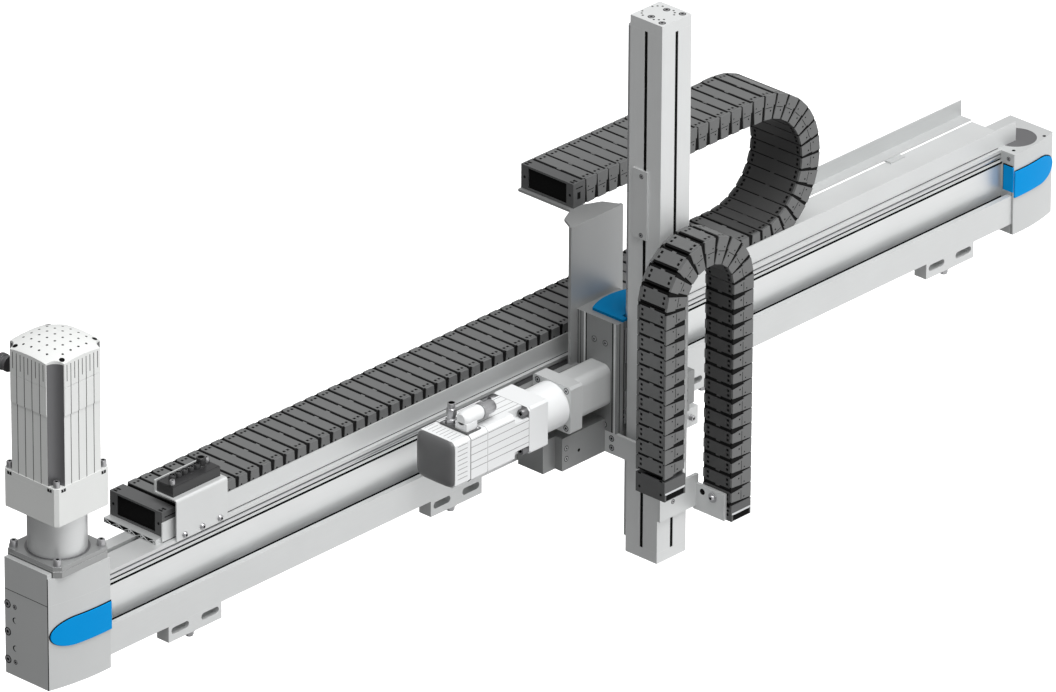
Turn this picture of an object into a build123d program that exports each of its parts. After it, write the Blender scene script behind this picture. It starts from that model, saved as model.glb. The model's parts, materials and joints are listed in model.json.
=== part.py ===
from build123d import *
import os
from math import asin, cos, degrees, floor, radians, sin, sqrt, tan

# Linear gantry: a belt axis along a beam, with a carriage that carries a vertical column axis.
# A large energy chain feeds the carriage and a small one feeds the column.
# Millimetres. X runs along the beam, -Y is the front, +Z is up.
# The origin is the centre of the beam's flat back face.

# Beam
beam_length = 1800.0
beam_height = 108.0
beam_depth = 88.0
strip_height = 44.0
strip_wall = 8.0
trench_floor = 30.0
band_setback = 20.0
band_thickness = 2.0
band_top_gap = 17.0
lip_height = 5.0
rail_diameter = 7.0
belt_width = 25.0
belt_thickness = 2.5
slot_mouth = 8.0
slot_lip = 4.0
slot_width = 15.0
slot_depth = 10.0
slot_front_inset = 12.0
slot_back_inset = 24.0
back_slot_rise = 34.0
rail_groove = 2.5
chamber_wall = 10.0
belt_room = 8.0

# Heads at the beam's ends
head_length = 104.5
end_length = 95.0
head_drop = 16.5
head_upper_height = 39.0
head_rim_height = 7.5
head_rim_width = 8.0
head_bulge = 3.0
head_corner_setback = 8.5
cover_height = 40.0
cover_rise = 42.0
cover_thickness = 2.5
pulley_radius = 23.0
pulley_teeth = 18
tooth_depth = 1.8
pulley_clearance = 0.3
pocket_gap = 2.0
bearing_depth = 10.0
shaft_radius = 6.0
shaft_clearance = 0.08
cover_gap = 2.5
drive_cover_tip = 42.0
end_cover_tip = 35.0
end_flange_depth = 15.0
end_flange_rise = 6.0
end_flange_height = 38.0

# Drive stack on the left head
stack_setback = 49.3
stack_inset = 44.5
stack_plate = 101.0
stack_plate_chamfer = 8.6
stack_plate_height = 9.0
stack_top_plate_height = 6.0
gearbox_radius = 40.0
gearbox_height = 61.0
stack_step = 1.0
adapter_height = 47.0
adapter_chamfer = 4.7
motor_width = 100.0
motor_flange_height = 8.0
motor_height = 188.0
motor_channel = 17.0
motor_cap_edge = 3.0
motor_cap_height = 8.0
motor_cap_slope = 55.0
motor_plug_radius = 11.0
motor_plug_length = 20.0
motor_plug_drop = 44.0
motor_plug_offset = 34.0

# Cable trough and the supports under the beam
sheet = 2.0
trough_start = 129.0
trough_overhang = 38.0
trough_setback = 28.0
trough_wall_height = 29.0
trough_floor_depth = 82.0
bracket_length = 100.0
bracket_depth = 22.0
bracket_height = 24.0
bracket_count = 4
bracket_first = 161.0
bracket_last = 130.0
bracket_slot_length = 33.0
bracket_slot_width = 10.0
bracket_slot_spacing = 56.5
bracket_slot_drop = 9.0
spacer_length = 30.0
spacer_depth = 20.0
support_start = 119.0
support_length = 50.0
support_wall = 1.5

# Distributor near the left end
distributor_start = 148.0
distributor_width = 96.0
distributor_rise = 58.0
distributor_depth = 40.0
distributor_lip = 17.0
box_width = 89.0
box_depth = 30.0
box_height = 22.0
socket_strip = 56.0
socket_width = 18.0
socket_height = 7.0
socket_tall = 18.0
socket_tall_radius = 8.0

# Energy chains
chain_pitch = 22.5
plate_thickness = 3.5
plate_overlap = 4.0
link_clearance = 0.9
bar_thickness = 3.0
bar_start = 4.6
bar_length = 16.0
inner_bar_length = 11.0
chain_a_height = 36.0
chain_a_width = 97.0
chain_a_side_gap = 0.5
chain_rest_gap = 0.8
chain_a_radius = 102.0
chain_a_lift = 7.0
chain_a_inset = 131.0
chain_a_lower_links = 50
chain_a_moving_offset = 13.8
chain_a_fixed_end = 29.9
chain_a_moving_end = 23.4
chain_b_height = 39.0
chain_b_width = 53.0
chain_b_radius = 67.7
chain_b_loop_z = 208.0
chain_b_left_links = 10
chain_b_right_links = 14
chain_b_fixed_end = 34.0
chain_b_moving_end = 24.0
connector_wall = 13.0
connector_b_wall = 10.0
connector_tongue = 4.0
connector_skin = 3.0
chain_b_gap = 13.0

# Carriage
carriage_x = 34.6
carriage_length = 303.0
carriage_gap = 2.0
carriage_plate = 10.0
carriage_block_depth = 46.4
carriage_block_drop = 4.4
carriage_plate_rise = 58.0
guide_gap = 0.3
guide_inset = 8.0
head_step = 6.0
hook_length = 29.0
hook_inset = 3.0
hook_plate = 3.0
hook_drop = 28.0
hook_reach = 10.0
hook_seat = 30.0
adapter_length = 85.0
adapter_depth = 13.2
holder_plate = 5.0
holder_height = 32.4
foot_height = 32.4

# Vertical head and its drive
head_width = 85.2
head_depth = 74.0
head_height = 165.5
head_cover_inset = 11.0
head_cover_height = 4.0
head_cover_back = 8.0
head_cover_corner = 18.5
drive_rise = 69.0
drive_setback = 33.0
coupling_length = 70.0
coupling_width = 44.0
coupling_height = 62.0
coupling_round = 12.0
servo_flange = 70.0
servo_flange_length = 23.0
servo_gearbox_length = 45.0
servo_gearbox_radius = 33.0
servo_adapter_length = 34.0
servo_body_length = 117.0
servo_rear_length = 32.0
servo_cap_length = 6.0
servo_cap_slope = 40.0
servo_chamfer = 6.0
power_plug_radius = 9.0
power_plug_height = 32.0
power_plug_inset = 9.0
power_plug_offset = 9.5
signal_plug_radius = 12.0
signal_plug_height = 18.0
signal_plug_inset = 11.0
signal_plug_offset = 16.0
signal_plug_reach = 50.0

# Column
column_width = 58.0
column_length = 806.0
column_drop = 208.0
column_gap = 4.0
column_x = 37.5
column_plate = 16.0
column_slot = 5.5
column_slot_depth = 7.0
column_wall = 9.0
column_rail_width = 15.0
column_rail_height = 12.0
column_rail_offset = 16.0
rail_channel_gap = 1.5
column_belt_width = 16.0
column_belt_offset = 14.5
guide_block_length = 50.0
guide_block_width = 29.0
guide_block_height = 22.0
side_plate_thickness = 3.0
side_plate_width = 27.0
side_plate_offset = 20.0
side_plate_length = 102.0
side_plate_drop = 222.0
rail_end_gap = 4.0
guide_block_gap = 1.5
guide_block_share = 0.22
wheel_gap = 0.5
wheel_side_gap = 1.0
wheel_room = 2.0
lower_plate = 5.0
lower_plate_height = 47.0
lower_plate_rise = 6.0
lower_arm_height = 40.0
lower_arm_inset = 9.0

# Bracket that carries the large chain's moving end
arm_plate = 5.0
arm_width = 103.0
arm_sheet = 4.0
arm_tip_width = 25.0
arm_mid_width = 75.0
arm_flare = 12.0
arm_offset = 3.0

# Stations worked out from the sizes above
left_x = -beam_length / 2
right_x = beam_length / 2
front_y = -beam_depth
under_z = -beam_height / 2
top_z = beam_height / 2
recess_y = front_y + band_setback + band_thickness
rail_radius = rail_diameter / 2
upper_rail_y = recess_y + rail_radius
upper_rail_z = top_z - lip_height - rail_radius - rail_groove
lower_rail_y = front_y + strip_wall
lower_rail_z = under_z + trench_floor + 2 * rail_radius
stack_x = left_x - stack_inset
stack_y = front_y + stack_setback
idler_x = right_x + stack_inset
belt_radius = pulley_radius + pulley_clearance
belt_outer = belt_radius + belt_thickness
head_top = top_z + head_upper_height
gearbox_z = head_top + stack_plate_height + stack_top_plate_height
motor_adapter_z = gearbox_z + gearbox_height
motor_flange_z = motor_adapter_z + adapter_height
motor_z = motor_flange_z + motor_flange_height
motor_top = motor_z + motor_height
carriage_y = front_y - carriage_gap
block_front = carriage_y - carriage_block_depth
block_under = under_z - carriage_block_drop
block_top = under_z + strip_height + 1.0
plate_top = carriage_plate_rise
vertical_head_back = carriage_y - head_step
vertical_head_front = vertical_head_back - head_depth
vertical_head_z = block_under + foot_height
vertical_head_top = vertical_head_z + head_height
head_left = carriage_x - head_width / 2
head_right = carriage_x + head_width / 2
drive_y = vertical_head_front + drive_setback
drive_z = vertical_head_z + drive_rise
column_back = vertical_head_front - column_gap
column_front = column_back - column_width
column_left = column_x - column_width / 2
column_top = column_length - column_drop
chain_a_z = top_z + chain_a_lift + chain_a_height / 2
chain_a_top_z = chain_a_z + 2 * chain_a_radius
chain_a_y = front_y + trough_setback + sheet + chain_a_side_gap + chain_a_width / 2
chain_b_y = column_front - chain_b_gap - chain_b_width / 2
chain_b_left_x = column_x - chain_b_radius
chain_b_right_x = column_x + chain_b_radius
bracket_spacing = (beam_length - bracket_first - bracket_last) / (bracket_count - 1)
bracket_centres = [left_x + bracket_first + n * bracket_spacing for n in range(bracket_count)]


def block(x_low, x_high, y_low, y_high, z_low, z_high):
    """A box between pairs of limits."""
    centre = Pos((x_low + x_high) / 2, (y_low + y_high) / 2, (z_low + z_high) / 2)
    return centre * Box(x_high - x_low, y_high - y_low, z_high - z_low)


def rod_x(radius, x_low, x_high, y, z):
    """A round bar along X."""
    return Pos((x_low + x_high) / 2, y, z) * Rot(0, 90, 0) * Cylinder(radius, x_high - x_low)


def rod_y(radius, y_low, y_high, x, z):
    """A round bar along Y."""
    return Pos(x, (y_low + y_high) / 2, z) * Rot(90, 0, 0) * Cylinder(radius, y_high - y_low)


def rod_z(radius, z_low, z_high, x, y):
    """A round bar along Z."""
    return Pos(x, y, (z_low + z_high) / 2) * Cylinder(radius, z_high - z_low)


def section_x(points, x_low, x_high):
    """A prism along X from an outline of (y, z) points."""
    plane = Plane(origin=(x_low, 0, 0), x_dir=(0, 1, 0), z_dir=(1, 0, 0))
    return extrude(plane * make_face(Polyline(*points, close=True)), x_high - x_low)


def section_z(outline, z_low, z_high):
    """A prism along Z from a face drawn in X and Y."""
    return extrude(Pos(0, 0, z_low) * outline, z_high - z_low)


def square_post(width, corner, z_low, z_high, x, y):
    """An upright square post with chamfered corners."""
    outline = chamfer(Rectangle(width, width).vertices(), corner)
    return section_z(Pos(x, y) * outline, z_low, z_high)


def tee_slot(length, mouth, wide, lip, depth):
    """A T-slot cutter along X: its mouth opens at Z = 0 and it goes down."""
    throat = block(-length / 2, length / 2, -mouth / 2, mouth / 2, -depth, 1)
    return throat + block(-length / 2, length / 2, -wide / 2, wide / 2, -depth, -lip)


def save(name, shape):
    """Write one sub-part."""
    export_step(shape, f"parts/{name}.step")


def save_set(name, shapes):
    """Write one sub-part that has several solids."""
    export_step(Compound(children=list(shapes)), f"parts/{name}.step")


# Beam
def make_beam():
    outline = [
        (0, under_z),
        (front_y, under_z),
        (front_y, under_z + strip_height),
        (lower_rail_y, under_z + strip_height),
        (lower_rail_y, under_z + trench_floor),
        (recess_y, under_z + trench_floor),
        (recess_y, upper_rail_z - rail_radius),
        (recess_y + rail_diameter, upper_rail_z - rail_radius),
        (recess_y + rail_diameter, top_z - lip_height),
        (recess_y, top_z - lip_height),
        (recess_y, top_z),
        (0, top_z),
    ]
    beam = section_x(outline, left_x, right_x)
    seat = lower_rail_y - rail_radius
    beam -= block(left_x, right_x, seat, lower_rail_y, lower_rail_z - rail_radius, lower_rail_z + rail_radius)
    room = belt_width / 2 + belt_room
    belt_back = stack_y - belt_radius + pocket_gap
    beam -= block(left_x, right_x, recess_y, belt_back, -room, room)
    chamber_back = -slot_depth - 1
    beam -= block(left_x, right_x, belt_back + chamber_wall, chamber_back, -room, room)
    cutter = tee_slot(beam_length, slot_mouth, slot_width, slot_lip, slot_depth)
    beam -= Pos(0, -slot_back_inset, top_z) * cutter
    beam -= Pos(0, -slot_back_inset, under_z) * Rot(180, 0, 0) * cutter
    beam -= Pos(0, front_y + slot_front_inset, under_z) * Rot(180, 0, 0) * cutter
    for height in (-back_slot_rise, back_slot_rise):
        beam -= Pos(0, 0, height) * Rot(-90, 0, 0) * cutter
    save("beam_profile", beam)
    band_top = top_z - band_top_gap
    band_low = under_z + trench_floor
    save("cover_band", block(left_x, right_x, front_y + band_setback, recess_y, band_low, band_top))
    upper = rod_x(rail_radius, left_x, right_x, upper_rail_y, upper_rail_z)
    lower = rod_x(rail_radius, left_x, right_x, lower_rail_y, lower_rail_z)
    save_set("guide_rails", [upper, lower])


def belt_loop(radius, width, z):
    """A filled belt outline round both pulleys."""
    span = idler_x - stack_x
    outline = Pos((idler_x + stack_x) / 2, stack_y) * SlotCenterToCenter(span, 2 * radius)
    return section_z(outline, z - width / 2, z + width / 2)


# Heads
def head_outline(x_beam, x_outer, depth_out=0.0):
    """The plan of a head: straight back and sides and a bulging front."""
    front = front_y - depth_out
    start = (x_beam, front - head_bulge)
    middle = (x_beam + 0.45 * (x_outer - x_beam), front - head_bulge * 0.6)
    end = (x_outer, front + head_corner_setback)
    curve = ThreePointArc(start, middle, end)
    rest = Polyline(end, (x_outer, 0), (x_beam, 0), start)
    return make_face(Curve() + [curve, rest])


def head_cover(x_beam, x_outer, tip):
    """A cover that follows a head's bulging front, with a half-elliptic outer end."""
    skin = section_z(head_outline(x_beam, x_outer, cover_thickness), under_z, top_z)
    skin -= section_z(head_outline(x_beam, x_outer), under_z, top_z)
    side = 1 if x_outer > x_beam else -1
    length = abs(x_outer - x_beam) - cover_gap
    straight = length - tip
    z_middle = under_z + cover_rise + cover_height / 2
    x_low, x_high = sorted((x_beam, x_beam + side * straight))
    reach = 2 * head_corner_setback
    low = z_middle - cover_height / 2
    bar = block(x_low, x_high, front_y - reach, front_y + reach, low, low + cover_height)
    centre = (x_beam + side * straight, front_y + reach, z_middle)
    plane = Plane(origin=centre, x_dir=(1, 0, 0), z_dir=(0, -1, 0))
    bar += extrude(plane * Ellipse(tip, cover_height / 2), 2 * reach)
    return skin & bar


def toothed_wheel(radius, width):
    """A belt pulley's toothed outline, extruded along Z from the origin."""
    points = []
    for number in range(2 * pulley_teeth):
        angle = 180 * number / pulley_teeth
        reach = radius - tooth_depth * (number % 2)
        points.append((reach * cos(radians(angle)), reach * sin(radians(angle))))
    return extrude(make_face(Polyline(*points, close=True)), width)


def belt_pocket(x_shaft, x_beam):
    """The room in a head for its pulley and belt, open towards the beam."""
    reach = belt_outer + pocket_gap
    half = belt_width / 2 + pocket_gap + 1
    x_far = x_shaft - reach if x_beam > x_shaft else x_shaft + reach
    x_low, x_high = sorted((x_far, x_beam))
    return block(x_low, x_high, stack_y - reach, stack_y + reach, -half, half)


def make_heads():
    outer_x = left_x - head_length
    low_z = under_z - head_drop
    bearing_z = low_z + bearing_depth
    shaft_hole = shaft_radius + shaft_clearance
    lower = section_z(head_outline(left_x, outer_x), low_z, top_z)
    lower -= belt_pocket(stack_x, left_x)
    lower -= rod_z(shaft_hole, bearing_z, top_z, stack_x, stack_y)
    save("drive_housing", lower)
    upper = section_z(head_outline(left_x, outer_x), top_z, head_top)
    rim_front = front_y + head_corner_setback
    upper += block(outer_x, outer_x + head_rim_width, rim_front, 0, head_top, head_top + head_rim_height)
    upper -= rod_z(shaft_hole, top_z, head_top, stack_x, stack_y)
    save("drive_upper_housing", upper)
    save("drive_cover", head_cover(left_x, outer_x, drive_cover_tip))

    far_x = right_x + end_length
    end = section_z(head_outline(right_x, far_x), low_z, top_z)
    end -= belt_pocket(idler_x, right_x)
    end_bearing = top_z - bearing_depth
    end -= rod_z(shaft_hole, bearing_z, end_bearing, idler_x, stack_y)
    save("end_housing", end)
    cover = head_cover(right_x, far_x, end_cover_tip)
    low = under_z + strip_height + end_flange_rise
    flange_back = front_y + end_flange_depth
    cover += block(right_x - sheet, right_x, front_y - cover_thickness, flange_back, low, low + end_flange_height)
    save("end_cover", cover)

    belt = belt_loop(belt_outer, belt_width, 0) - belt_loop(belt_radius, belt_width, 0)
    save("belt_x", belt)
    for name, x, top in (("drive_pulley", stack_x, head_top), ("idler_pulley", idler_x, end_bearing)):
        wheel = Pos(x, stack_y, -belt_width / 2 - 1) * toothed_wheel(pulley_radius, belt_width + 2)
        wheel += rod_z(shaft_radius, bearing_z + 1, top - 1, x, stack_y)
        save(name, wheel)


# Drive stack
def motor_outline(width, channel):
    """A square with concave corners."""
    outline = Rectangle(width, width)
    for x in (-width / 2, width / 2):
        for y in (-width / 2, width / 2):
            outline -= Pos(x, y) * Circle(channel)
    return outline


def sloped_cap(width, corner, height, slope):
    """A low cap on the XY plane: a chamfered square whose four sides lean inwards by the slope, in degrees."""
    half = width / 2
    inset = height * tan(radians(slope))
    outline = [
        (-half, 0),
        (half, 0),
        (half - inset, height),
        (inset - half, height),
    ]
    ridge = section_x(outline, -half, half)
    cap = ridge & Rot(0, 0, 90) * ridge
    return cap & section_z(chamfer(Rectangle(width, width).vertices(), corner), 0, height)


def make_drive_stack():
    step_z = head_top + stack_plate_height
    plate = square_post(stack_plate, stack_plate_chamfer, head_top, step_z, stack_x, stack_y)
    upper_width = stack_plate - 2 * stack_step
    plate += square_post(upper_width, stack_plate_chamfer, step_z, gearbox_z, stack_x, stack_y)
    save("gearbox_flange_x", plate)
    save("gearbox_x", rod_z(gearbox_radius, gearbox_z, motor_adapter_z, stack_x, stack_y))
    adapter = square_post(motor_width, adapter_chamfer, motor_adapter_z, motor_flange_z, stack_x, stack_y)
    save("motor_adapter_x", adapter)
    flange = square_post(motor_width, adapter_chamfer, motor_flange_z, motor_z, stack_x, stack_y)
    save("motor_flange_x", flange)
    place = Pos(stack_x, stack_y)
    save("motor_x_body", section_z(place * motor_outline(motor_width, motor_channel), motor_z, motor_top))
    cap_z = motor_top + motor_cap_edge
    cap = section_z(place * motor_outline(motor_width, motor_channel), motor_top, cap_z)
    crown = sloped_cap(motor_width, motor_channel / sqrt(2), motor_cap_height, motor_cap_slope)
    cap += Pos(stack_x, stack_y, cap_z) * crown
    save("motor_x_cap", cap)
    plug_x = stack_x - motor_plug_offset
    plug_y = stack_y + motor_width / 2
    plane = Plane(origin=(plug_x, plug_y, motor_top - motor_plug_drop), x_dir=(1, 0, 0), z_dir=(0, 1, 0))
    knob = extrude(plane * RegularPolygon(motor_plug_radius, 12), motor_plug_length)
    save("motor_x_plug", knob)


# Trough, brackets and distributor
def make_trough():
    start = left_x + trough_start
    end = right_x + trough_overhang
    wall_y = front_y + trough_setback
    floor_y = wall_y + trough_floor_depth
    support_end = left_x + support_start + support_length
    support_y = chain_a_y - chain_a_width / 2
    wall = block(start, end, wall_y, wall_y + sheet, top_z, top_z + trough_wall_height)
    floor_plate = block(support_end, end, wall_y + sheet, floor_y, top_z, top_z + sheet)
    save_set("cable_trough", [wall, floor_plate])
    support_top = top_z + chain_a_lift
    middle = chain_a_y
    half = chain_a_width / 2
    support = block(left_x + support_start, support_end, support_y, support_y + chain_a_width, top_z, support_top)
    for slot_y in (middle - half / 2, middle + half / 2):
        room = half / 2 - 2 * support_wall
        low = top_z + support_wall
        support -= block(left_x + support_start, support_end, slot_y - room, slot_y + room, low,
                         support_top - support_wall)
    save("chain_support", support)
    back_y = chain_a_y + chain_a_width / 2 + 1
    flange_top = top_z + chain_a_lift - chain_rest_gap
    flange_low = flange_top - sheet
    angle = [
        (floor_y, flange_low),
        (back_y + sheet, flange_low),
        (back_y + sheet, top_z + trough_wall_height + 1),
        (back_y, top_z + trough_wall_height + 1),
        (back_y, flange_top),
        (floor_y, flange_top),
    ]
    pieces = [section_x(angle, support_end, end - sheet)]
    half_spacer = spacer_length / 2
    seat_y = floor_y - spacer_depth / 2
    for centre in bracket_centres[1:]:
        pieces.append(block(centre - half_spacer, centre + half_spacer, seat_y, seat_y + spacer_depth,
                            top_z + sheet, flange_low))
    save_set("trough_back_angle", pieces)


def make_brackets():
    low = under_z - bracket_height
    back = front_y + bracket_depth
    half = bracket_length / 2
    slot_z = under_z - bracket_slot_drop
    slot = SlotOverall(bracket_slot_length, bracket_slot_width)
    brackets = []
    for centre in bracket_centres:
        bracket = block(centre - half, centre + half, front_y, back, low, under_z)
        for offset in (-bracket_slot_spacing / 2, bracket_slot_spacing / 2):
            plane = Plane(origin=(centre + offset, front_y, slot_z), x_dir=(1, 0, 0), z_dir=(0, 1, 0))
            bracket -= extrude(plane * slot, bracket_depth)
        brackets.append(bracket)
    save_set("mount_brackets", brackets)


def make_distributor():
    start = left_x + distributor_start
    end = start + distributor_width
    shelf_z = top_z + distributor_rise
    back_y = recess_y + distributor_depth
    front = recess_y - sheet
    outline = [
        (front, top_z - lip_height + 2),
        (recess_y, top_z - lip_height + 2),
        (recess_y, shelf_z - sheet),
        (back_y, shelf_z - sheet),
        (back_y, shelf_z + distributor_lip),
        (back_y - sheet, shelf_z + distributor_lip),
        (back_y - sheet, shelf_z),
        (front, shelf_z),
    ]
    tray = section_x(outline, start, end)
    bend = tray.edges().filter_by(Axis.X).sort_by(Axis.Y)[:2].sort_by(Axis.Z)[-1:]
    save("distributor_sheet", fillet(bend, 2 * sheet))
    box_x = (start + end) / 2
    box_y = back_y - sheet - box_depth / 2
    box = block(box_x - box_width / 2, box_x + box_width / 2, box_y - box_depth / 2, box_y + box_depth / 2,
                shelf_z, shelf_z + box_height)
    save("distributor_box", box)
    socket_low = shelf_z + box_height
    left = box_x - box_width / 2 + 8
    half = socket_width / 2
    strip = block(left, left + socket_strip, box_y - half, box_y + half, socket_low, socket_low + socket_height)
    tall_x = left + socket_strip + socket_tall_radius + 1
    tall = Pos(tall_x, box_y, socket_low) * extrude(RegularPolygon(socket_tall_radius, 12), socket_tall)
    save_set("distributor_sockets", [strip, tall])


# Energy chains
def bend_step(radius):
    """Degrees turned between neighbouring links on the loop."""
    return degrees(2 * asin(chain_pitch / (2 * radius)))


def plate_slope():
    """How far a side plate leans inwards per length along it, so that each one tucks behind the next."""
    return (plate_thickness + link_clearance) / chain_pitch


def chain_link(height, width, radius):
    """One link. Its own pin is at the origin, the next one a pitch along X, and +Z is the loop's outer side.

    Its side plates lean inwards towards the next link and tuck inside that link's plates, and they are
    shorter on the inner side, which leaves room for the bend.
    """
    half = height / 2
    lean = plate_slope() * (chain_pitch + 2 * plate_overlap)
    rear = -plate_overlap
    front = chain_pitch + plate_overlap
    trim = 2 * half * sin(radians(bend_step(radius) / 2))
    edge = width / 2
    plan = [
        (rear, edge),
        (front, edge - lean),
        (front, edge - lean - plate_thickness),
        (rear, edge - plate_thickness),
    ]
    plate = extrude(Pos(0, 0, -half) * make_face(Polyline(*plan, close=True)), height)
    side = [
        (rear, half),
        (front, half),
        (front - trim, -half),
        (rear + trim / 2, -half),
    ]
    plane = Plane(origin=(0, edge, 0), x_dir=(1, 0, 0), z_dir=(0, -1, 0))
    plate &= extrude(plane * make_face(Polyline(*side, close=True)), width / 2)
    link = plate + mirror(plate, Plane.XZ)
    reach = edge - plate_thickness - plate_slope() * (bar_start + plate_overlap)
    link += block(bar_start, bar_start + bar_length, -reach, reach, half - bar_thickness, half)
    link += block(bar_start, bar_start + inner_bar_length, -reach, reach, -half, bar_thickness - half)
    return link


def straight_links(link, start, along, outer, count):
    """Links in a row from a pin position."""
    result = []
    for number in range(count):
        origin = Vector(*start) + Vector(*along) * (number * chain_pitch)
        result.append(Plane(origin=origin, x_dir=along, z_dir=outer).location * link)
    return result


def loop_shape(radius):
    """Links on the arc, the angle of the first pin, and how far behind the centre the straight run ends."""
    step = bend_step(radius)
    count = floor(180 / step)
    first = (180 - count * step) / 2
    offset = radius * (1 - cos(radians(first)))
    behind = sqrt(chain_pitch ** 2 - offset ** 2) - radius * sin(radians(first))
    return count, first, behind


def loop_links(link, radius, centre, along, outer):
    """The links round the half loop, with one at each end that leads into a straight run."""
    count, first, behind = loop_shape(radius)
    step = bend_step(radius)
    centre = Vector(*centre)
    along = Vector(*along)
    outer = Vector(*outer)
    pins = [centre + outer * radius - along * behind]
    for number in range(count + 1):
        angle = radians(first + number * step)
        pins.append(centre + outer * (radius * cos(angle)) + along * (radius * sin(angle)))
    pins.append(centre - outer * radius - along * behind)
    result = []
    for start, end in zip(pins, pins[1:]):
        direction = (end - start).normalized()
        across = along.cross(outer)
        result.append(Plane(origin=start, x_dir=direction, z_dir=across.cross(direction)).location * link)
    return result


def connector(height, width, wall, start, length, is_first):
    """An open end frame in a link's own directions, from start to start + length: two walls and two bars.

    The first one has tongues that tuck inside the first link, and the last one has skins that cover the
    last link's ends.
    """
    half = height / 2
    edge = width / 2
    frame_low = start if is_first else start + plate_overlap + link_clearance
    frame_high = start + length - (plate_overlap + link_clearance if is_first else 0)
    pieces = []
    for side in (-1, 1):
        y_low, y_high = sorted((side * edge, side * (edge - wall)))
        flank = block(frame_low, frame_high, y_low, y_high, -half, half)
        if is_first:
            tongue = edge - plate_thickness - plate_slope() * 2 * plate_overlap - link_clearance / 2
            y_low, y_high = sorted((side * tongue, side * (edge - wall)))
            flank += block(frame_high, start + length + plate_overlap, y_low, y_high, -half / 2, half / 2)
        else:
            y_low, y_high = sorted((side * edge, side * (edge - connector_skin)))
            flank += block(start, frame_low, y_low, y_high, -half, half)
        pieces.append(flank)
    inner = edge - wall
    for low in (half - bar_thickness, -half):
        pieces.append(block(frame_low, frame_high, -inner, inner, low, low + bar_thickness))
    return Compound(children=pieces)


def make_chains():
    right = (1, 0, 0)
    left = (-1, 0, 0)
    up = (0, 0, 1)
    down = (0, 0, -1)
    link = chain_link(chain_a_height, chain_a_width, chain_a_radius)
    behind = loop_shape(chain_a_radius)[2]
    first_pin = left_x + chain_a_inset + chain_a_fixed_end
    last_pin = first_pin + chain_a_lower_links * chain_pitch
    loop_x = last_pin + behind
    upper_links = round((last_pin - carriage_x - chain_a_moving_offset) / chain_pitch)
    lower_pin = (first_pin, chain_a_y, chain_a_z)
    save_set("chain_a_lower_run", straight_links(link, lower_pin, right, down, chain_a_lower_links))
    centre = (loop_x, chain_a_y, chain_a_z + chain_a_radius)
    save_set("chain_a_loop", loop_links(link, chain_a_radius, centre, right, down))
    upper_pin = (last_pin, chain_a_y, chain_a_top_z)
    save_set("chain_a_upper_run", straight_links(link, upper_pin, left, up, upper_links))
    fixed = connector(chain_a_height, chain_a_width, connector_wall, -chain_a_fixed_end, chain_a_fixed_end, True)
    save("chain_a_fixed_connector", Plane(origin=lower_pin, x_dir=right, z_dir=down).location * fixed)
    moving_pin = (last_pin - upper_links * chain_pitch, chain_a_y, chain_a_top_z)
    moving = connector(chain_a_height, chain_a_width, connector_wall, 0, chain_a_moving_end, False)
    save("chain_a_moving_connector", Plane(origin=moving_pin, x_dir=left, z_dir=up).location * moving)

    link = chain_link(chain_b_height, chain_b_width, chain_b_radius)
    behind = loop_shape(chain_b_radius)[2]
    last_pin = chain_b_loop_z - behind
    left_start = (chain_b_left_x, chain_b_y, last_pin - chain_b_left_links * chain_pitch)
    save_set("chain_b_left_leg", straight_links(link, left_start, up, left, chain_b_left_links))
    centre = (column_x, chain_b_y, chain_b_loop_z)
    save_set("chain_b_loop", loop_links(link, chain_b_radius, centre, up, left))
    right_start = (chain_b_right_x, chain_b_y, last_pin)
    save_set("chain_b_right_leg", straight_links(link, right_start, down, right, chain_b_right_links))
    fixed = connector(chain_b_height, chain_b_width, connector_b_wall, -chain_b_fixed_end, chain_b_fixed_end, True)
    half = chain_b_height / 2
    foot_depth = head_left - chain_b_left_x - half
    foot_end = -plate_overlap - link_clearance
    foot = block(-chain_b_fixed_end, foot_end, -chain_b_width / 2, chain_b_width / 2, -half - foot_depth, -half)
    fixed = Compound(children=[*fixed.children, foot])
    save("chain_b_fixed_connector", Plane(origin=left_start, x_dir=up, z_dir=left).location * fixed)
    right_end = (chain_b_right_x, chain_b_y, last_pin - chain_b_right_links * chain_pitch)
    moving = connector(chain_b_height, chain_b_width, connector_b_wall, 0, chain_b_moving_end, False)
    save("chain_b_moving_connector", Plane(origin=right_end, x_dir=down, z_dir=right).location * moving)
    return right_end[2] - chain_b_moving_end


def rail_channel():
    """The room that the column's rail needs in whatever stands behind it."""
    rail_x = column_x - column_rail_offset
    half = column_rail_width / 2 + rail_channel_gap
    back = column_back + column_rail_height + rail_channel_gap
    return block(rail_x - half, rail_x + half, vertical_head_front - 1, back, -column_drop, column_top)


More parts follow.
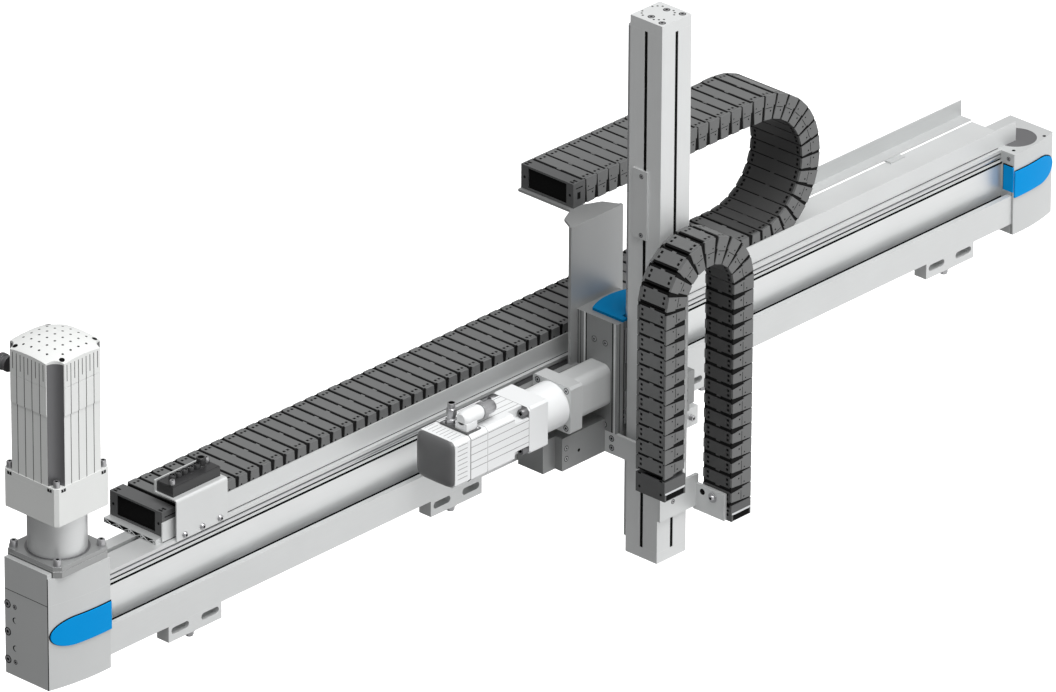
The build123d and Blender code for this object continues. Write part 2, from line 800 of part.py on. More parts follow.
# Carriage
def make_carriage():
    low_x = carriage_x - carriage_length / 2
    high_x = carriage_x + carriage_length / 2
    saddle = block(low_x, high_x, block_front, carriage_y, block_under, block_top)
    saddle += block(low_x, high_x, carriage_y - carriage_plate, carriage_y, block_top, plate_top)
    saddle -= block(head_left, head_right, block_front, carriage_y - carriage_plate, vertical_head_z, block_top)
    save("carriage_saddle", saddle)
    band_y = front_y + band_setback
    guide = [
        (carriage_y, block_top - 0.5 + guide_gap),
        (lower_rail_y + rail_radius + guide_gap, block_top - 0.5 + guide_gap),
        (lower_rail_y + rail_radius + guide_gap, under_z + trench_floor + 1),
        (band_y - 2 * guide_gap, under_z + trench_floor + 1),
        (band_y - 2 * guide_gap, top_z - band_top_gap + 1),
        (recess_y - guide_gap, top_z - band_top_gap + 1),
        (recess_y - guide_gap, top_z - lip_height - 1),
        (carriage_y, top_z - lip_height - 1),
    ]
    save("carriage_guide", section_x(guide, low_x + guide_inset, high_x - guide_inset))
    adapter_low = block_under
    left_end = head_left - adapter_length
    right_end = head_right + adapter_length
    adapter_front = block_front - adapter_depth
    left = block(left_end, head_left, adapter_front, block_front, adapter_low, block_top)
    right = block(head_right, right_end, adapter_front, block_front, adapter_low, block_top)
    save_set("carriage_adapters", [left, right])
    foot_left = head_left + holder_plate
    foot = block(foot_left, head_right, vertical_head_front, block_front, adapter_low, vertical_head_z)
    save("foot_block", foot - rail_channel())
    holder_front = chain_b_y - chain_b_width / 2 + 5
    holder_top = adapter_low + holder_height
    save("chain_b_holder", block(head_left, foot_left, holder_front, block_front, adapter_low, holder_top))
    hook_right = high_x - hook_inset
    hook_left = hook_right - hook_length
    hook_front = block_front - hook_reach
    hook = block(hook_left, hook_right, hook_front, block_front + hook_seat, block_under - hook_plate, block_under)
    hook += block(hook_left, hook_right, hook_front, hook_front + hook_plate, block_under - hook_drop, block_under)
    save("switch_bracket", hook)


def make_vertical_head():
    plate_y = carriage_y - carriage_plate
    head = block(head_left, head_right, vertical_head_front, plate_y, vertical_head_z, vertical_head_top)
    head += block(head_left, head_right, plate_y, vertical_head_back, plate_top, vertical_head_top)
    rail_x = column_x - column_rail_offset
    head -= rail_channel()
    room = guide_block_width / 2 + guide_gap
    block_face = column_back + guide_block_gap
    block_back = block_face + guide_block_height
    blocks = []
    for share in (guide_block_share, 1 - guide_block_share):
        centre = vertical_head_z + head_height * share
        low = centre - guide_block_length / 2
        high = centre + guide_block_length / 2
        head -= block(rail_x - room, rail_x + room, vertical_head_front, block_back, low, high)
        slider = block(rail_x - guide_block_width / 2, rail_x + guide_block_width / 2, block_face, block_back,
                       low, high)
        half = column_rail_width / 2 + guide_gap
        slider -= block(rail_x - half, rail_x + half, column_back, column_back + column_rail_height + guide_gap,
                        low, high)
        blocks.append(slider)
    belt_x = column_x + column_belt_offset
    half_wheel = column_belt_width / 2 + wheel_side_gap
    belt_face = column_back + belt_thickness
    wheel_radius = drive_y - belt_face - wheel_gap
    room = wheel_radius + wheel_room
    wheel_left = belt_x - half_wheel
    wheel_right = belt_x + half_wheel
    head -= block(wheel_left - wheel_room, wheel_right + wheel_room, vertical_head_front, drive_y + room,
                  drive_z - room, drive_z + room)
    shaft_end = head_right - bearing_depth / 2
    head -= rod_x(shaft_radius + shaft_clearance, head_left, shaft_end, drive_y, drive_z)
    save("z_head_housing", head)
    save_set("z_guide_blocks", blocks)
    wheel = Pos(wheel_left, drive_y, drive_z) * Rot(0, 90, 0) * toothed_wheel(wheel_radius, 2 * half_wheel)
    wheel += rod_x(shaft_radius, head_left + 1, shaft_end - 1, drive_y, drive_z)
    save("z_pulley", wheel)
    cover_left = head_left + head_cover_inset
    turn_y = vertical_head_back - head_cover_corner
    crown = (carriage_x + 8, vertical_head_back - head_cover_back)
    curve = ThreePointArc((cover_left, turn_y), crown, (head_right, turn_y + 5))
    edge = Polyline((head_right, turn_y + 5), (head_right, vertical_head_front), (cover_left, vertical_head_front),
                    (cover_left, turn_y))
    cover = make_face(Curve() + [curve, edge])
    cover = section_z(cover, vertical_head_top, vertical_head_top + head_cover_height)
    save("z_head_cover", cover - rail_channel())


def servo_post(width, corner, x_low, x_high):
    """A square bar along X with chamfered corners, on the drive axis."""
    outline = chamfer(Rectangle(width, width).vertices(), corner)
    plane = Plane(origin=(x_low, drive_y, drive_z), x_dir=(0, 1, 0), z_dir=(1, 0, 0))
    return extrude(plane * outline, x_high - x_low)


def make_servo():
    coupling_x = head_left - coupling_length
    plane = Plane(origin=(coupling_x, drive_y, drive_z), x_dir=(0, 1, 0), z_dir=(1, 0, 0))
    outline = fillet(Rectangle(coupling_width, coupling_height).vertices(), coupling_round)
    flange_x = coupling_x - servo_flange_length
    housing = extrude(plane * outline, coupling_length)
    housing += servo_post(servo_flange, servo_chamfer / 2, flange_x, coupling_x)
    save("coupling_housing_z", housing)
    gearbox_x = flange_x - servo_gearbox_length
    save("gearbox_z", rod_x(servo_gearbox_radius, gearbox_x, flange_x, drive_y, drive_z))
    adapter_x = gearbox_x - servo_adapter_length
    save("motor_z_adapter", servo_post(servo_flange, servo_chamfer / 2, adapter_x, gearbox_x))
    body_x = adapter_x - servo_body_length
    save("motor_z_body", servo_post(servo_flange, servo_chamfer, body_x, adapter_x))
    rear_x = body_x - servo_rear_length
    rear = servo_post(servo_flange - 1, servo_chamfer, rear_x, body_x)
    plane = Plane(origin=(rear_x, drive_y, drive_z), x_dir=(0, 1, 0), z_dir=(-1, 0, 0))
    rear += plane.location * sloped_cap(servo_flange - 1, 2 * servo_chamfer, servo_cap_length, servo_cap_slope)
    save("motor_z_rear", rear)
    plug_z = drive_z + servo_flange / 2
    place = Pos(body_x + power_plug_inset, drive_y + power_plug_offset, plug_z)
    straight = place * extrude(RegularPolygon(power_plug_radius, 6), power_plug_height)
    elbow_x = body_x + signal_plug_inset
    elbow_y = drive_y - signal_plug_offset
    ring = Pos(elbow_x, elbow_y, plug_z) * extrude(RegularPolygon(signal_plug_radius, 12), signal_plug_height / 2)
    half = signal_plug_radius - 2
    elbow = ring + block(elbow_x - half, elbow_x + signal_plug_reach, elbow_y - half, elbow_y + half,
                         plug_z + signal_plug_height / 2, plug_z + signal_plug_height + half)
    save_set("motor_z_plugs", [straight, elbow])


def make_arm():
    left = carriage_x - arm_width / 2 - arm_offset
    right = left + arm_width
    arm_top = chain_a_top_z - chain_a_height / 2
    arm_low = arm_top - arm_sheet
    post = block(left, right, vertical_head_back, vertical_head_back + arm_plate, plate_top, arm_top)
    middle = (left + right) / 2
    tip_y = chain_a_y + chain_a_width / 2
    chain_front = chain_a_y - chain_a_width / 2
    flare_y = chain_front - arm_flare
    outline = [
        (left, vertical_head_back),
        (right, vertical_head_back),
        (middle + arm_mid_width / 2, flare_y),
        (middle + arm_tip_width / 2, chain_front),
        (middle + arm_tip_width / 2, tip_y),
        (middle - arm_tip_width / 2, tip_y),
        (middle - arm_tip_width / 2, chain_front),
        (middle - arm_mid_width / 2, flare_y),
    ]
    shelf = section_z(make_face(Polyline(*outline, close=True)), arm_low, arm_top)
    save("chain_a_bracket", post + shelf)


# Column
def make_column(chain_end_z):
    low = -column_drop + column_plate
    high = column_top - column_plate
    length = high - low
    middle_y = (column_back + column_front) / 2
    profile = block(-column_width / 2, column_width / 2, -column_width / 2, column_width / 2, low, high)
    inner = column_width / 2 - column_wall
    profile -= block(-inner, inner, -inner, inner, low, high)
    cutter = tee_slot(length, column_slot, 2 * column_slot, 2.5, column_slot_depth)
    upright = Pos(0, 0, (low + high) / 2) * Rot(0, 90, 0)
    for turn in (0, 90, 180, 270):
        profile -= Rot(0, 0, turn) * upright * Pos(0, 0, column_width / 2) * cutter
    place = Pos(column_x, middle_y, 0)
    save("column_profile", place * profile)
    half = column_width / 2
    save("column_top_plate", place * block(-half, half, -half, half, high, column_top))
    save("column_end_plate", place * block(-half, half, -half, half, -column_drop, low))
    rail_x = column_x - column_rail_offset
    save("column_rail", block(rail_x - column_rail_width / 2, rail_x + column_rail_width / 2, column_back,
                              column_back + column_rail_height, low + rail_end_gap, high - rail_end_gap))
    belt_x = column_x + column_belt_offset
    save("column_belt", block(belt_x - column_belt_width / 2, belt_x + column_belt_width / 2, column_back,
                              column_back + belt_thickness, low, high))
    plate_y = middle_y + side_plate_offset
    plate_high = column_top - side_plate_drop
    save("column_side_plate", block(column_left - side_plate_thickness, column_left, plate_y - side_plate_width,
                                    plate_y, plate_high - side_plate_length, plate_high))
    chain_x = chain_b_right_x - chain_b_height / 2
    chain_front = chain_b_y - chain_b_width / 2
    plate_low = chain_end_z + lower_plate_rise
    bracket = block(column_left, chain_x, column_front - lower_plate, column_front, plate_low,
                    plate_low + lower_plate_height)
    bracket += block(chain_x - lower_plate, chain_x, chain_front + lower_arm_inset, column_front, chain_end_z,
                     chain_end_z + lower_arm_height)
    save("column_lower_bracket", bracket)


os.makedirs("parts", exist_ok=True)
make_beam()
make_heads()
make_drive_stack()
make_trough()
make_brackets()
make_distributor()
chain_b_end_z = make_chains()
make_carriage()
make_vertical_head()
make_servo()
make_arm()
make_column(chain_b_end_z)
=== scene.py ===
import json
import math

import bmesh
import bpy
from mathutils import Matrix, Vector


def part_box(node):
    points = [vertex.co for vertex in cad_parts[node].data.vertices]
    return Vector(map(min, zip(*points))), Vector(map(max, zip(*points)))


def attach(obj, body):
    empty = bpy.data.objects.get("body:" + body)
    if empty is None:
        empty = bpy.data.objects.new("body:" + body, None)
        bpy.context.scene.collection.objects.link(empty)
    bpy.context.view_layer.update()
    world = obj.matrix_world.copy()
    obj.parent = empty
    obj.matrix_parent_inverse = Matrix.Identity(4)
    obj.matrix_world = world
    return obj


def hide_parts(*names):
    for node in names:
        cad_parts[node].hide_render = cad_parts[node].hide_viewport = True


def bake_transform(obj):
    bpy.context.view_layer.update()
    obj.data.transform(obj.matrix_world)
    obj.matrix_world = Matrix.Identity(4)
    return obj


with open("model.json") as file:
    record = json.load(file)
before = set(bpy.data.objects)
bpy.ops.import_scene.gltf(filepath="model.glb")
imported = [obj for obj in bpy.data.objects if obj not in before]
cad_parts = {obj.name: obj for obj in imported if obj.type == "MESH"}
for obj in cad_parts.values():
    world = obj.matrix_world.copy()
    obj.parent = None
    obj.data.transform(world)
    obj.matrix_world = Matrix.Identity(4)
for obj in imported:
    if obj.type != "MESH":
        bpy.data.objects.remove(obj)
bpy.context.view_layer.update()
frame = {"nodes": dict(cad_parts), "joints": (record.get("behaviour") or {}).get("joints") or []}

# The looks of a linear gantry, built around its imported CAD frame.
# Shapes are worked out in millimetres in the frame's own axes and turned into metres at the end.

MM = 0.001

# Photograph's viewpoint
CAMERA_PLACE = (-11377, -10604, 7774)
CAMERA_AZIMUTH = -47.01
CAMERA_ELEVATION = 26.42
CAMERA_ROLL = -0.323
CAMERA_LENS = 434.7
SENSOR_WIDTH = 36.0

# Studio
FLOOR_Z = -900
FLOOR_HALF = 9000
FLOOR_WHITE = (0.9, 0.9, 0.9, 1)
FLOOR_GLOW = 0.25
FLOOR_LEAN = (0.68, -0.73, 0)
FLOOR_LOW = 0.12
FLOOR_HIGH = 0.75
KEY_DIRECTION = (-0.06, -0.34, 0.94)
KEY_STRENGTH = 3.0
KEY_SPREAD = 40
WORLD_LEAN = (0.30, -0.62, 0.12)
WORLD_LOW = 0.20
WORLD_HIGH = 0.98

# Energy chains
PITCH = 22.5
PLATE = 3.5
PLATE_OVERLAP = 4.0
CHAIN_A_RADIUS = 102.0
CHAIN_B_RADIUS = 67.7
CHAIN_B_STAGES = 4
HIDDEN_INSET = 0.3
STAGE_INSET = 0.045
SKIN = 0.9
WINDOW_EDGE = 2.6
WINDOW_WIDTH = 4.4
WINDOW_LENGTH = 4.2
TONGUE_HALF = 3.5

# Shapes
LEFT, RIGHT = (-1, 0, 0), (1, 0, 0)
FRONT, BACK = (0, -1, 0), (0, 1, 0)
DOWN, UP = (0, 0, -1), (0, 0, 1)
CORNERS = [(i, j) for i in (-1, 1) for j in (-1, 1)]
SIDES = 24
SHARP_ANGLE = 32
WELD = 0.00001
HEX = True
LINE = 0.08


def node_box(name):
    """A node's lowest and highest corners in millimetres."""
    low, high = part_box(name)
    return low / MM, high / MM


def node_middle(name):
    low, high = node_box(name)
    return (low + high) / 2


def facing(point, direction, along=UP):
    """A placement whose own +Z points along the direction, with +Y as near to along as it can be."""
    outer = Vector(direction).normalized()
    across = Vector(along).cross(outer)
    if across.length < 0.01:
        across = Vector(RIGHT) - outer * outer.x
    return axes(point, across, outer)


def axes(origin, along, outer):
    """A placement whose own +X points along and whose +Z points outer."""
    x = Vector(along).normalized()
    z = Vector(outer).normalized()
    return shift(*origin) @ Matrix((x, z.cross(x), z)).transposed().to_4x4()


def shift(x, y, z):
    return Matrix.Translation((x, y, z))


def spin(degrees, axis="Z"):
    return Matrix.Rotation(math.radians(degrees), 4, axis)


def ring(radius, height, hexagon=False, sides=SIDES):
    """A closed ring of points round Z, round or hexagonal."""
    points = []
    for number in range(sides):
        angle = 2 * math.pi * number / sides
        reach = radius
        if hexagon:
            turn = angle % (math.pi / 3) - math.pi / 6
            reach = radius * math.cos(math.pi / 6) / math.cos(turn)
        points.append((reach * math.cos(angle), reach * math.sin(angle), height))
    return points


def four_sides(points):
    """One side's (x, y) points, repeated round the four sides of a square post."""
    outline = []
    for quarter in range(4):
        turn = math.radians(90 * quarter)
        for x, y in points:
            outline.append((x * math.cos(turn) - y * math.sin(turn),
                            x * math.sin(turn) + y * math.cos(turn)))
    return outline


class Shape:
    """Faces in millimetres, each with the number of its material, that become one Blender piece."""

    def __init__(self):
        self.points = []
        self.faces = []
        self.slots = []

    def put(self, points, faces, slot=0, place=None):
        start = len(self.points)
        for point in points:
            self.points.append(place @ Vector(point) if place else Vector(point))
        for face in faces:
            self.faces.append([start + corner for corner in face])
            self.slots.append(slot)

    def box(self, x, y, z, slot=0, place=None):
        points = [(x[i], y[j], z[k]) for k in (0, 1) for j in (0, 1) for i in (0, 1)]
        faces = [(0, 2, 3, 1), (4, 5, 7, 6), (0, 1, 5, 4), (2, 6, 7, 3), (0, 4, 6, 2), (1, 3, 7, 5)]
        self.put(points, faces, slot, place)

    def mark(self, direction, face, first, second, slot=0, thick=LINE):
        """A thin plate that stands proud of a face, with its two other ranges in the order X, Y, Z."""
        axis = next(number for number in range(3) if direction[number])
        ranges = [first, second]
        ranges.insert(axis, sorted((face, face + direction[axis] * thick)))
        self.box(*ranges, slot)

    def rings(self, rows, slots=(0,), place=None, first=True, last=True):
        """Bands between rings of equally many points, closed at the ends that are asked for."""
        count = len(rows[0])
        band = []
        for number in range(count):
            following = (number + 1) % count
            band.append((number, following, count + following, count + number))
        for number, (row, above) in enumerate(zip(rows, rows[1:])):
            self.put([*row, *above], band, slots[min(number, len(slots) - 1)], place)
        if first:
            self.put(rows[0], [tuple(reversed(range(count)))], slots[0], place)
        if last:
            self.put(rows[-1], [tuple(range(count))], slots[-1], place)

    def turned(self, profile, slots=(0,), place=None, first=False, last=True, sides=SIDES):
        """A turned part from (radius, height) entries, hexagonal where HEX follows them."""
        rows = [ring(entry[0], entry[1], len(entry) > 2, sides) for entry in profile]
        self.rings(rows, slots, place, first, last)
        return self

    def ribs(self, count, x, half, z, slot=0):
        """Small ribs in a ring round Z."""
        for number in range(count):
            self.box(x, (-half, half), z, slot, spin(360 / count * number))

    def prism(self, outline, low, high, slot=0, place=None):
        """An (x, y) outline carried from low to high along Z."""
        self.rings([[(x, y, low) for x, y in outline], [(x, y, high) for x, y in outline]], (slot,), place)

    def add(self, other, place=Matrix()):
        """Another shape, moved into place."""
        start = len(self.points)
        self.points.extend(place @ point for point in other.points)
        self.faces.extend([start + corner for corner in face] for face in other.faces)
        self.slots.extend(other.slots)

    def add_each(self, other, places, direction, along=UP):
        """Another shape at each place, with its own +Z along the direction."""
        for place in places:
            self.add(other, facing(place, direction, along))

    def moved(self, place):
        result = Shape()
        result.add(self, place)
        return result

    def recoloured(self, *numbers):
        """The shape with other material numbers in place of 0, 1 and so on."""
        result = self.moved(Matrix())
        result.slots = [numbers[slot] for slot in self.slots]
        return result

    def piece(self, name, materials):
        """A Blender object of the shape, in metres, with smooth faces between its sharp edges."""
        mesh = bpy.data.meshes.new(name)
        mesh.from_pydata([point * MM for point in self.points], [], self.faces)
        for material in materials:
            mesh.materials.append(material)
        for polygon, slot in zip(mesh.polygons, self.slots):
            polygon.material_index = min(slot, len(materials) - 1)
        work = bmesh.new()
        work.from_mesh(mesh)
        bmesh.ops.remove_doubles(work, verts=work.verts, dist=WELD)
        bmesh.ops.recalc_face_normals(work, faces=work.faces)
        for face in work.faces:
            face.smooth = True
        work.to_mesh(mesh)
        work.free()
        mesh.set_sharp_from_angle(angle=math.radians(SHARP_ANGLE))
        item = bpy.data.objects.new(name, mesh)
        bpy.context.scene.collection.objects.link(item)
        return item


def ride(shape, name, body, materials, replaced=()):
    """Makes a piece of the shape that rides on a body."""
    item = shape.piece(name, materials)
    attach(item, body)
    if replaced:
        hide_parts(*replaced)


# Materials
class Graph:
    """The nodes of a material or world, where an input is a constant or the output that feeds it."""

    def __init__(self, owner):
        owner.use_nodes = True
        self.nodes = owner.node_tree.nodes
        self.links = owner.node_tree.links

    def feed(self, node, inputs):
        for socket, value in inputs.items():
            if isinstance(value, bpy.types.NodeSocket):
                self.links.new(value, node.inputs[socket])
            else:
                node.inputs[socket].default_value = value

    def add(self, kind, inputs, output, **settings):
        """A new node with its settings and inputs, as the output that is asked for."""
        node = self.nodes.new("ShaderNode" + kind)
        for setting, value in settings.items():
            setattr(node, setting, value)
        self.feed(node, inputs)
        return node.outputs[output]

    def noise(self, place, scale, detail):
        return self.add("TexNoise", {"Vector": place, "Scale": scale, "Detail": detail}, "Fac")

    def dot(self, first, second):
        return self.add("VectorMath", {0: first, 1: second}, "Value", operation="DOT_PRODUCT")

    def spread(self, value, low, high, start=0.0, end=1.0):
        """The range from start to end, carried over to the one from low to high."""
        inputs = {"Value": value, "From Min": start, "From Max": end, "To Min": low, "To Max": high}
        return self.add("MapRange", inputs, "Result")

    def mix(self, share, first, second, blend="MIX"):
        """Two colours, mixed."""
        return self.add("Mix", {"Factor": share, 6: first, 7: second}, 2, data_type="RGBA", blend_type=blend)


MOTTLE_SCALE = 14
BUMP_STRENGTH = 0.5
EDGE_RADIUS = 0.35
EDGE_TURN = 0.9
EDGE_WEAR = 0.6
ROUGHNESS_SPREAD = 0.06


def surface(name, colour, metallic, roughness, grain, depth, mottle, worn=None, stretch=(1, 1, 1),
            edge=EDGE_RADIUS, shine=0.5):
    """A finish with fine grain in its bump, slow mottling in colour and roughness, and worn edges."""
    material = bpy.data.materials.new(name)
    graph = Graph(material)
    place = graph.add("TexCoord", {}, "Object")
    fine = graph.noise(graph.add("Mapping", {"Vector": place, "Scale": stretch}, "Vector"), grain, 3)
    slow = graph.noise(place, MOTTLE_SCALE, 4)
    low_tone = [channel * (1 - mottle) for channel in colour]
    high_tone = [min(1, channel * (1 + mottle)) for channel in colour]
    tone = graph.mix(graph.spread(slow, 0, 1), (*low_tone, 1), (*high_tone, 1))
    tone = graph.mix(1, tone, graph.spread(fine, 1 - mottle, 1), "MULTIPLY")
    soft = graph.add("Bevel", {"Radius": edge * MM}, "Normal", samples=4)
    if worn:
        flat = graph.add("NewGeometry", {}, "Normal")
        rubbed = graph.spread(graph.dot(soft, flat), 0, EDGE_WEAR, 1, EDGE_TURN)
        tone = graph.mix(rubbed, tone, (*worn, 1))
    bump = graph.add("Bump", {"Strength": BUMP_STRENGTH, "Distance": depth * MM, "Height": fine,
                              "Normal": soft}, "Normal")
    rough = graph.spread(slow, roughness - ROUGHNESS_SPREAD, roughness + ROUGHNESS_SPREAD)
    graph.feed(graph.nodes["Principled BSDF"], {"Metallic": metallic, "Specular IOR Level": shine,
                                                "Base Color": tone, "Roughness": rough, "Normal": bump})
    return material


def grey(red, other=None):
    """A grey whose green and blue differ a little from its red where a second value is given."""
    return (red, other or red, other or red)


GRAIN_X = (0.04, 1, 1)
GRAIN_Z = (1, 1, 0.04)
anodised_x = surface("anodised_along_x", grey(0.60, 0.61), 0.55, 0.42, 500, 0.02, 0.05, grey(0.80, 0.81),
                     GRAIN_X)
anodised_z = surface("anodised_along_z", grey(0.63, 0.64), 0.25, 0.42, 500, 0.02, 0.05, grey(0.85, 0.86),
                     GRAIN_Z)
sheet_metal = surface("folded_sheet", grey(0.62, 0.63), 0.45, 0.45, 1200, 0.01, 0.05, grey(0.82, 0.83))
machined = surface("machined_aluminium", grey(0.54, 0.55), 0.40, 0.40, 1500, 0.015, 0.05, grey(0.78, 0.79))
flange_metal = surface("machined_flange", grey(0.34, 0.345), 0.60, 0.36, 1500, 0.015, 0.05, grey(0.78, 0.79))
# machined aluminium darkened as painted shade, for the carriage, the vertical head and the foot block
machined_painted_shade = surface("machined_carriage_painted_shade", grey(0.26, 0.265), 0.45, 0.40, 1500, 0.015, 0.06,
                        grey(0.52, 0.53))
bracket_metal = surface("folded_bracket", grey(0.36, 0.365), 0.55, 0.42, 1200, 0.01, 0.05, grey(0.62, 0.63))
motor_grey = surface("motor_grey", (0.68, 0.69, 0.68), 0.10, 0.38, 1600, 0.02, 0.04, grey(0.80))
servo_white = surface("servo_white", (0.70, 0.71, 0.715), 0.05, 0.36, 1600, 0.015, 0.03, grey(0.80))
blue = surface("blue_cover", (0.0, 0.255, 0.62), 0.0, 0.5, 2200, 0.01, 0.04, (0.0, 0.32, 0.72), shine=0.05)
# a darker copy of the blue cover, painted shade for the vertical head's cover
blue_painted_shade = surface("blue_cover_painted_shade", (0.0, 0.13, 0.30), 0.0, 0.5, 2200, 0.01, 0.04, (0.0, 0.20, 0.42),
                     shine=0.05)
steel = surface("ground_steel", (0.62, 0.63, 0.64), 0.95, 0.28, 700, 0.01, 0.06, (0.75, 0.76, 0.77),
                (1, 1, 0.1))
band_steel = surface("steel_band", grey(0.70, 0.71), 0.75, 0.36, 700, 0.012, 0.05, grey(0.80, 0.81),
                     (0.02, 1, 1))
# dark steel for screws and plug shells, also used as painted shade: the ring round the gearbox base and the
# servo's notch floors
dark_steel_and_shade = surface("dark_steel_and_shade", (0.18, 0.18, 0.185), 0.8, 0.38, 1800, 0.01, 0.08, (0.40, 0.40, 0.41))
# painted shade: a darker copy of the chain plastic for the inner bars
chain_inner_shade = surface("chain_inner_painted_shade", grey(0.042), 0.0, 0.5, 2600, 0.03, 0.08, grey(0.07), edge=0.3)
chain_grey = surface("chain_plastic", grey(0.112, 0.114), 0.0, 0.42, 2600, 0.03, 0.08, grey(0.19), edge=0.3)
# near-black painted shadow for the chain's gaps, hidden plate ends, pin marks and inner tube
chain_gap_shade = surface("chain_painted_gap_shadow", grey(0.006), 0.0, 0.7, 2600, 0.03, 0.08, shine=0.08)
black_plastic = surface("black_plastic", (0.022, 0.022, 0.023), 0.0, 0.42, 2200, 0.03, 0.08, grey(0.06))
grey_plastic = surface("dark_grey_plastic", (0.07, 0.071, 0.072), 0.0, 0.45, 2000, 0.03, 0.07, grey(0.13))
# near-black painted shade for holes, sockets, slots, grooves and gaps
hollow_shade = surface("painted_hollow_shade", grey(0.005), 0.0, 0.8, 2000, 0.01, 0.05, shine=0.05)
rubber = surface("belt_rubber", grey(0.03), 0.0, 0.6, 1500, 0.05, 0.1, grey(0.06))
brushed = surface("brushed_steel", grey(0.66, 0.67), 0.65, 0.36, 900, 0.01, 0.05, grey(0.80, 0.81),
                  (0.05, 0.05, 1))
# painted shade in the servo's grooves, seams and dashes
line_shade = surface("line_shadow", (0.24, 0.24, 0.245), 0.0, 0.6, 2000, 0.01, 0.05)
dome_grey = surface("dark_dome", (0.115, 0.116, 0.118), 0.1, 0.42, 1400, 0.04, 0.1, grey(0.20))
# painted shade in the motor's grooves and slots
groove_shade = surface("groove_shadow", grey(0.05), 0.0, 0.6, 2000, 0.01, 0.05)
# dark grey metal for the end housing's shaft cover, also painted shade in the motor's corner channels
grey_metal_and_channel_shade = surface("grey_metal_and_channel_shade", (0.16, 0.16, 0.165), 0.6, 0.5, 1800, 0.01, 0.05, grey(0.3))
screw_steel = surface("screw_steel", (0.42, 0.42, 0.43), 0.85, 0.30, 2000, 0.01, 0.06, (0.70, 0.70, 0.71),
                      edge=0.25)

NODE_LOOKS = {
    anodised_x: ("beam_profile", "trough_back_angle", "mount_brackets", "chain_support"),
    anodised_z: ("column_profile", "column_top_plate", "column_end_plate"),
    sheet_metal: ("cable_trough", "distributor_sheet", "column_lower_bracket",
                  "column_side_plate", "chain_b_holder", "switch_bracket"),
    machined: ("drive_housing", "drive_upper_housing", "end_housing", "coupling_housing_z"),
    flange_metal: ("gearbox_flange_x",),
    machined_painted_shade: ("z_head_housing", "carriage_saddle", "carriage_adapters", "foot_block"),
    bracket_metal: ("chain_a_bracket",),
    motor_grey: ("motor_adapter_x", "motor_flange_x"),
    servo_white: ("motor_z_adapter", "gearbox_z"),
    blue: ("drive_cover", "end_cover"),
    blue_painted_shade: ("z_head_cover",),
    steel: ("guide_rails", "column_rail", "z_guide_blocks", "drive_pulley", "idler_pulley", "z_pulley"),
    band_steel: ("cover_band",),
    brushed: ("gearbox_x",),
    rubber: ("belt_x", "column_belt"),
    black_plastic: ("carriage_guide",),
    grey_plastic: ("chain_a_fixed_connector", "chain_a_moving_connector", "chain_b_fixed_connector",
                   "chain_b_moving_connector"),
}
for look, names in NODE_LOOKS.items():
    for name in names:
        mesh = frame["nodes"][name].data
        mesh.materials.clear()
        mesh.materials.append(look)

# The chain's materials: plastic, painted shadow in its gaps and painted shade on its inner bars
CHAIN_LOOKS = [chain_grey, chain_gap_shade, chain_inner_shade]
FASTENER_LOOKS = [screw_steel, hollow_shade]


# Energy chains
def bend_step(radius):
    """The angle between neighbouring links on the loop."""
    return 2 * math.asin(PITCH / (2 * radius))


def latch_bar(link, x, reach, z, slot):
    """A crossbar with a pair of latch windows near each end."""
    outer = reach - WINDOW_EDGE
    inner = outer - WINDOW_WIDTH
    low, high = x
    strip = (high - low - 2 * WINDOW_LENGTH) / 3
    link.box(x, (-inner, inner), z, slot)
    for side in (-1, 1):
        zone = sorted((side * inner, side * outer))
        link.box((low, low + strip), zone, z, slot)
        link.box((low + strip + WINDOW_LENGTH, high - strip - WINDOW_LENGTH), zone, z, slot)
        link.box((high - strip, high), zone, z, slot)
        link.box(x, sorted((side * outer, side * reach)), z, slot)


